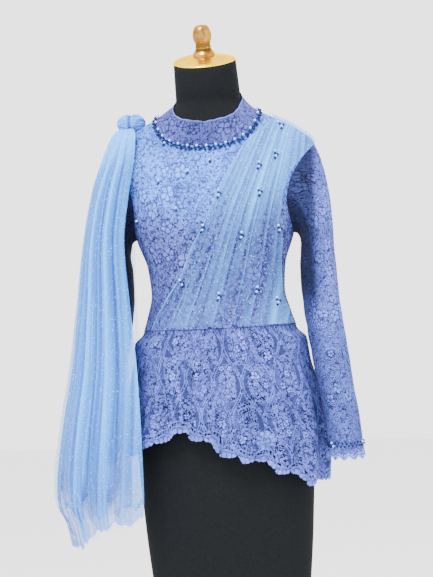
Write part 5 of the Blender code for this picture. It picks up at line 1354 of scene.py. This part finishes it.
# beads sewn on: a row under the collar, small clusters on the front and a line round each cuff, in metres
beads = {
    "pearlRadius": 0.0025, "darkRadius": 0.0024, "smallRadius": 0.0020,
    "around": 10, "rings": 7, "hole": 0.16,
    # along the collar seam: one pearl and the dark beads that follow it, along and down
    "repeat": 0.0178,
    "pattern": ((0.0044, 0.0034), (0.0086, 0.0060), (0.0134, 0.0034), (0.0022, 0.0080), (0.0120, 0.0088)),
    # room under the row where it crosses the drape, up to an angle in degrees, and under the rest
    "drapeRoom": 0.0042, "drapeAngle": 36, "laceRoom": 0.0012,
    # clusters on the front: x and height of the pearl, and the way its dark beads lie
    "clusters": ((0.1306, 1.3639, 0.4), (0.1254, 1.3109, 1.9), (0.0974, 1.2903, 0.9),
                 (-0.0305, 1.2818, 2.6), (0.0089, 1.3004, 5.1), (-0.0764, 1.3399, 1.2),
                 (-0.1380, 1.3094, 4.0), (-0.0858, 1.2673, 3.1), (0.1635, 1.2588, 1.7),
                 (0.0949, 1.2423, 4.4), (0.0268, 1.2418, 2.2), (-0.0526, 1.2158, 3.6),
                 (-0.0047, 1.1832, 0.8), (0.0637, 1.1672, 1.5), (0.1240, 1.1777, 4.8),
                 (-0.1345, 1.1997, 2.9), (-0.0549, 1.0856, 5.5), (0.0149, 1.0581, 1.5),
                 (0.0815, 1.0661, 0.6), (0.1120, 1.0451, 2.2)),
    "cuffStep": 0.0075, "cuffHeight": 0.7675,
}


def beadMesh(name, spots, material):
    # each bead is slightly barrel-shaped, dimpled at both thread holes; spots hold centre, way out and radius
    polar = np.linspace(beads["hole"], np.pi - beads["hole"], beads["rings"])[:, None]
    turn = np.linspace(0, 2 * np.pi, beads["around"], endpoint=False)[None, :]
    shape = np.stack([np.sin(polar) ** 0.8 * np.cos(turn), np.sin(polar) ** 0.8 * np.sin(turn),
                      0.94 * np.cos(polar) + 0 * turn], -1)
    hole = np.array([0.05, 0.05, 0.6])
    shape = np.concatenate([shape[:1] * hole, shape, shape[-1:] * hole])
    rows, columns = shape.shape[:2]
    vertices = []
    faces = []
    for centre, out, radius in spots:
        side = unitRows(np.cross(out, np.array([0.3, 0.1, 1.0])))
        frameWays = np.stack([out, np.cross(side, out), side])
        start = len(vertices)
        vertices.extend((centre + radius * shape.reshape(-1, 3) @ frameWays).tolist())
        for i in range(rows - 1):
            for j in range(columns):
                k = (j + 1) % columns
                faces.append((start + i * columns + j, start + (i + 1) * columns + j,
                              start + (i + 1) * columns + k, start + i * columns + k))
    mesh = bpy.data.meshes.new(name)
    mesh.from_pydata(vertices, [], faces)
    mesh.shade_smooth()
    piece = addPiece(name, mesh, material)
    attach(piece, "root")


def sewnAt(angle, height, radius, over=0.0):
    # a bead lying on the cloth, or over something that lies on the cloth
    centre = clothSurface(angle, height, cloth + over + radius * 0.9)
    return centre, formNormal(angle, height), radius


def drapeCovers(x, height):
    edge = np.interp(height, drape["edgeHeight"][::-1], drape["edgeX"][::-1])
    return float(x > edge)


def buildBeads():
    pearls = []
    darks = []
    # the row leaves the seam at its ends and climbs a little onto the collar
    angles = np.linspace(20, 159, 400)
    climb = 0.46 * smoothStep((np.abs(angles - 90) - 38) / 48)
    seam = collarSurface(angles, climb, collar["wall"])[0]
    run = np.concatenate([[0], np.cumsum(np.linalg.norm(np.diff(seam, axis=0), axis=-1))])
    for start in np.arange(0.003, run[-1] - 0.003, beads["repeat"]):
        for part, (along, down) in enumerate(((0.0, 0.0006),) + beads["pattern"]):
            wobble = chance[int(start * 1000) % len(chance), part, 1] - 0.5
            angle = float(np.interp(start + along + 0.001 * wobble, run, angles))
            radius = beads["darkRadius" if part else "pearlRadius"]
            at = float(np.interp(angle, angles, climb))
            base, out = collarSurface(np.array([angle, angle]), np.array([at, at + 0.1]), collar["wall"])
            rise = unitRows(base[1] - base[0])
            room = beads["drapeRoom" if angle < beads["drapeAngle"] else "laceRoom"]
            centre = base[0] - rise * (0.0015 + down) + out[0] * (radius * 0.9 + room)
            (darks if part else pearls).append((centre, out[0], radius))
    for x, height, way in beads["clusters"]:
        over = 0.0036 * drapeCovers(x, height) + 0.0004
        angle = float(angleAtX(x, height))
        pearls.append(sewnAt(angle, height, beads["pearlRadius"], over))
        tilt = -1.57 + 0.12 * (way - 3)
        for step, aside, kind in ((0.0046, 0.0, darks), (0.0088, 0.0008, pearls), (0.0066, 0.0044, darks),
                                  (0.0132, -0.0006, darks))[:4 if over > 0.002 else 1]:
            sideways = float(angleAtX(x + step * math.cos(tilt) + aside, height))
            radius = beads["pearlRadius"] if kind is pearls else beads["darkRadius"]
            kind.append(sewnAt(sideways, height + step * math.sin(tilt), radius, over))
    for side, sign in (("leftX", 1.0), ("rightX", -1.0)):
        count = int(cuffTrim["girthMm"] / 1000 / beads["cuffStep"])
        for k in range(2 * count):
            spin = np.array([(k + 0.5 * (k // count)) / count])
            height = np.array([beads["cuffHeight"] + 0.0055 * (k // count) + 0.0024 * chance[k, 9, 1]])
            centre = armRing(height, side, sign, spin, cloth + 0.0018)[0]
            inside = armRing(height, side, sign, spin, -0.01)[0]
            whole = k % 9 == 4
            spot = (centre, unitRows(centre - inside), beads["smallRadius"] * (1.15 if whole else 1.0))
            (pearls if whole else darks).append(spot)
    beadMesh("sewnPearls", pearls, pearl)
    beadMesh("sewnDarkBeads", darks, darkBead)


buildBeads()
print("beads ready")


# cap and finial of the dress form, and its stand, as turned profiles
neck = {
    "capRadius": [0.0560, 0.0588, 0.0590, 0.0575, 0.0480, 0.0340, 0.0215, 0.0],
    "capHeight": [0.0000, 0.0008, 0.0024, 0.0042, 0.0076, 0.0108, 0.0122, 0.0126],
    "finialRadius": [0.0205, 0.0200, 0.0150, 0.0142, 0.0150, 0.0138, 0.0142, 0.0168, 0.0177, 0.0165,
                     0.0135, 0.0100, 0.0],
    "finialHeight": [0.0000, 0.0040, 0.0110, 0.0135, 0.0155, 0.0180, 0.0230, 0.0300, 0.0370, 0.0450,
                     0.0520, 0.0556, 0.0560],
    "finialFoot": 0.0122, "seam": 0.0003,
}
stand = {
    "baseRadius": [0.0, 0.166, 0.170, 0.170, 0.168, 0.160, 0.060, 0.040, 0.0],
    "baseHeight": [0.0, 0.0, 0.0015, 0.006, 0.009, 0.014, 0.018, 0.022, 0.022],
    "poleRadius": 0.016, "poleFoot": 0.0223, "poleTop": 0.4697,
}


def turned(name, node, radius, height, centre, lean, material, slot, rows=64, around=80):
    # a smooth turned piece from its profile
    run = np.concatenate([[0], np.cumsum(np.hypot(np.diff(radius), np.diff(height)))])
    along = np.linspace(0, run[-1], rows + 1)
    wide = curveThrough(run, radius, along)[:, None]
    tall = curveThrough(run, height, along)[:, None]
    turn = np.linspace(0, 2 * np.pi, around, endpoint=False)[None, :]
    x = wide * np.cos(turn)
    y = wide * np.sin(turn)
    z = tall + 0 * turn
    cosLean = math.cos(lean)
    sinLean = math.sin(lean)
    points = np.stack([x, y * cosLean - z * sinLean, y * sinLean + z * cosLean], -1)
    away = np.stack([x, y * cosLean, y * sinLean], -1)
    spread = np.convolve(np.pad(wide[:, 0], 9, mode="edge"), np.ones(19) / 19, mode="valid")[:, None]
    groove = np.clip((spread - wide) / 0.0012, 0, 1) * (wide < 0.03)
    piece = meshFromGrid(name, points + np.array(centre), material, {"groove": 0.8 * groove},
                         closed=True, outward=away)
    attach(piece, "root")
    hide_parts(node)


def buildForm():
    heights = np.concatenate([np.linspace(0.470, 1.31, 76), np.linspace(1.31, 1.493, 40)[1:]])[:, None]
    angles = np.linspace(0, 360, 160, endpoint=False)[None, :]
    points = formSurface(angles, heights)
    # closed at both ends by a ring that shrinks to the middle
    floor = points[:1].mean(axis=1, keepdims=True)
    roof = points[-1:].mean(axis=1, keepdims=True)
    ends = [blendTo(floor, points[:1], t) for t in (0.02, 0.5, 0.97)]
    caps = [blendTo(roof, points[-1:], t) for t in (0.97, 0.5, 0.02)]
    outward = np.concatenate([points[:3] * 0, points, points[:3] * 0]) * np.array([1, 1, 0])
    piece = meshFromGrid("dressFormTorso", np.concatenate([*ends, points, *caps]), jersey,
                         closed=True, outward=outward)
    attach(piece, "root")
    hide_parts("form_torso")


buildForm()
lean = body["neckLean"]
axis = np.array([0, -math.sin(lean), math.cos(lean)])
neckMiddle = (formSurface(90.0, body["neckTop"]) + formSurface(270.0, body["neckTop"])) / 2
capSeat = neckMiddle + axis * neck["seam"]
finialSeat = capSeat + axis * (neck["finialFoot"] + neck["seam"])
ground = (0, 0, 0)
turned("goldNeckCap", "neck_cap", neck["capRadius"], neck["capHeight"], capSeat, lean, capGold, "gold_metal")
turned("goldFinial", "finial", neck["finialRadius"], neck["finialHeight"], finialSeat, lean, finialGold,
       "gold_metal")
turned("standBase", "stand_base", stand["baseRadius"], stand["baseHeight"], ground, 0.0, steel, "stand_steel")
turned("standPole", "stand_pole", [stand["poleRadius"]] * 2, [stand["poleFoot"], stand["poleTop"]],
       ground, 0.0, steel, "stand_steel", rows=4)
print("form and stand ready")


def buildFloor(half, drop, hexCode):
    # matt white paper floor, just under the stand
    mesh = bpy.data.meshes.new("studioFloor")
    corners = [(-half, -half, 0), (half, -half, 0), (half, half, 0), (-half, half, 0)]
    mesh.from_pydata(corners, [], [(0, 1, 2, 3)])
    paper = newMaterial("studioFloorPaper", {"Base Color": linear(hexCode), "Roughness": 0.9})[0]
    floor = addPiece("studioFloor", mesh, paper)
    floor.location = (0, 0, -drop)


buildFloor(7.0, 0.0005, "#f2f2f2")
world = bpy.data.worlds.new("studioAir")
bpy.context.scene.world = world
world.use_nodes = True
air = world.node_tree.nodes["Background"]
air.inputs["Color"].default_value = linear("#ffffff")
air.inputs["Strength"].default_value = 2.87


def areaLight(name, place, aim, size, power):
    lamp = bpy.data.lights.new(name, "AREA")
    lamp.energy = power
    lamp.size = size
    lamp.color = linear("#ffffff")[:3]
    light = bpy.data.objects.new(name, lamp)
    light.location = place
    way = np.array(aim) - np.array(place)
    light.rotation_euler = mathutils.Vector(way).to_track_quat("-Z", "Y").to_euler()
    bpy.context.scene.collection.objects.link(light)


areaLight("keySoftbox", (-0.5, -1.7, 3.1), (0, 0, 1.15), 1.0, 120)
areaLight("fillSoftbox", (2.4, -1.2, 1.8), (0, 0, 1.0), 1.0, 14)
areaLight("backSoftbox", (0.3, 2.6, 2.4), (0, 0, 1.1), 1.2, 20)

shot = {"turn": math.radians(8), "roll": 0.0488, "away": 2.7, "middle": (0, 0, 1.0665), "shift": -0.00285,
        "lens": 88.66}


def buildCamera():
    lens = bpy.data.cameras.new("studioLens")
    lens.lens = shot["lens"]
    camera = bpy.data.objects.new("studioCamera", lens)
    right = np.array([math.cos(shot["turn"]), math.sin(shot["turn"]), 0])
    back = np.array([math.sin(shot["turn"]), -math.cos(shot["turn"]), 0])
    up = np.array([0, 0, 1.0])
    even = math.sqrt(1 - shot["roll"] ** 2)
    across = even * right - shot["roll"] * up
    upward = shot["roll"] * right + even * up
    place = np.array(shot["middle"]) + shot["away"] * back + shot["shift"] * across
    columns = np.stack([across, upward, back], 1)
    facing = mathutils.Matrix(columns.tolist()).to_4x4()
    camera.matrix_world = mathutils.Matrix.Translation(place.tolist()) @ facing
    bpy.context.scene.collection.objects.link(camera)
    bpy.context.scene.camera = camera


buildCamera()
print("stage ready")
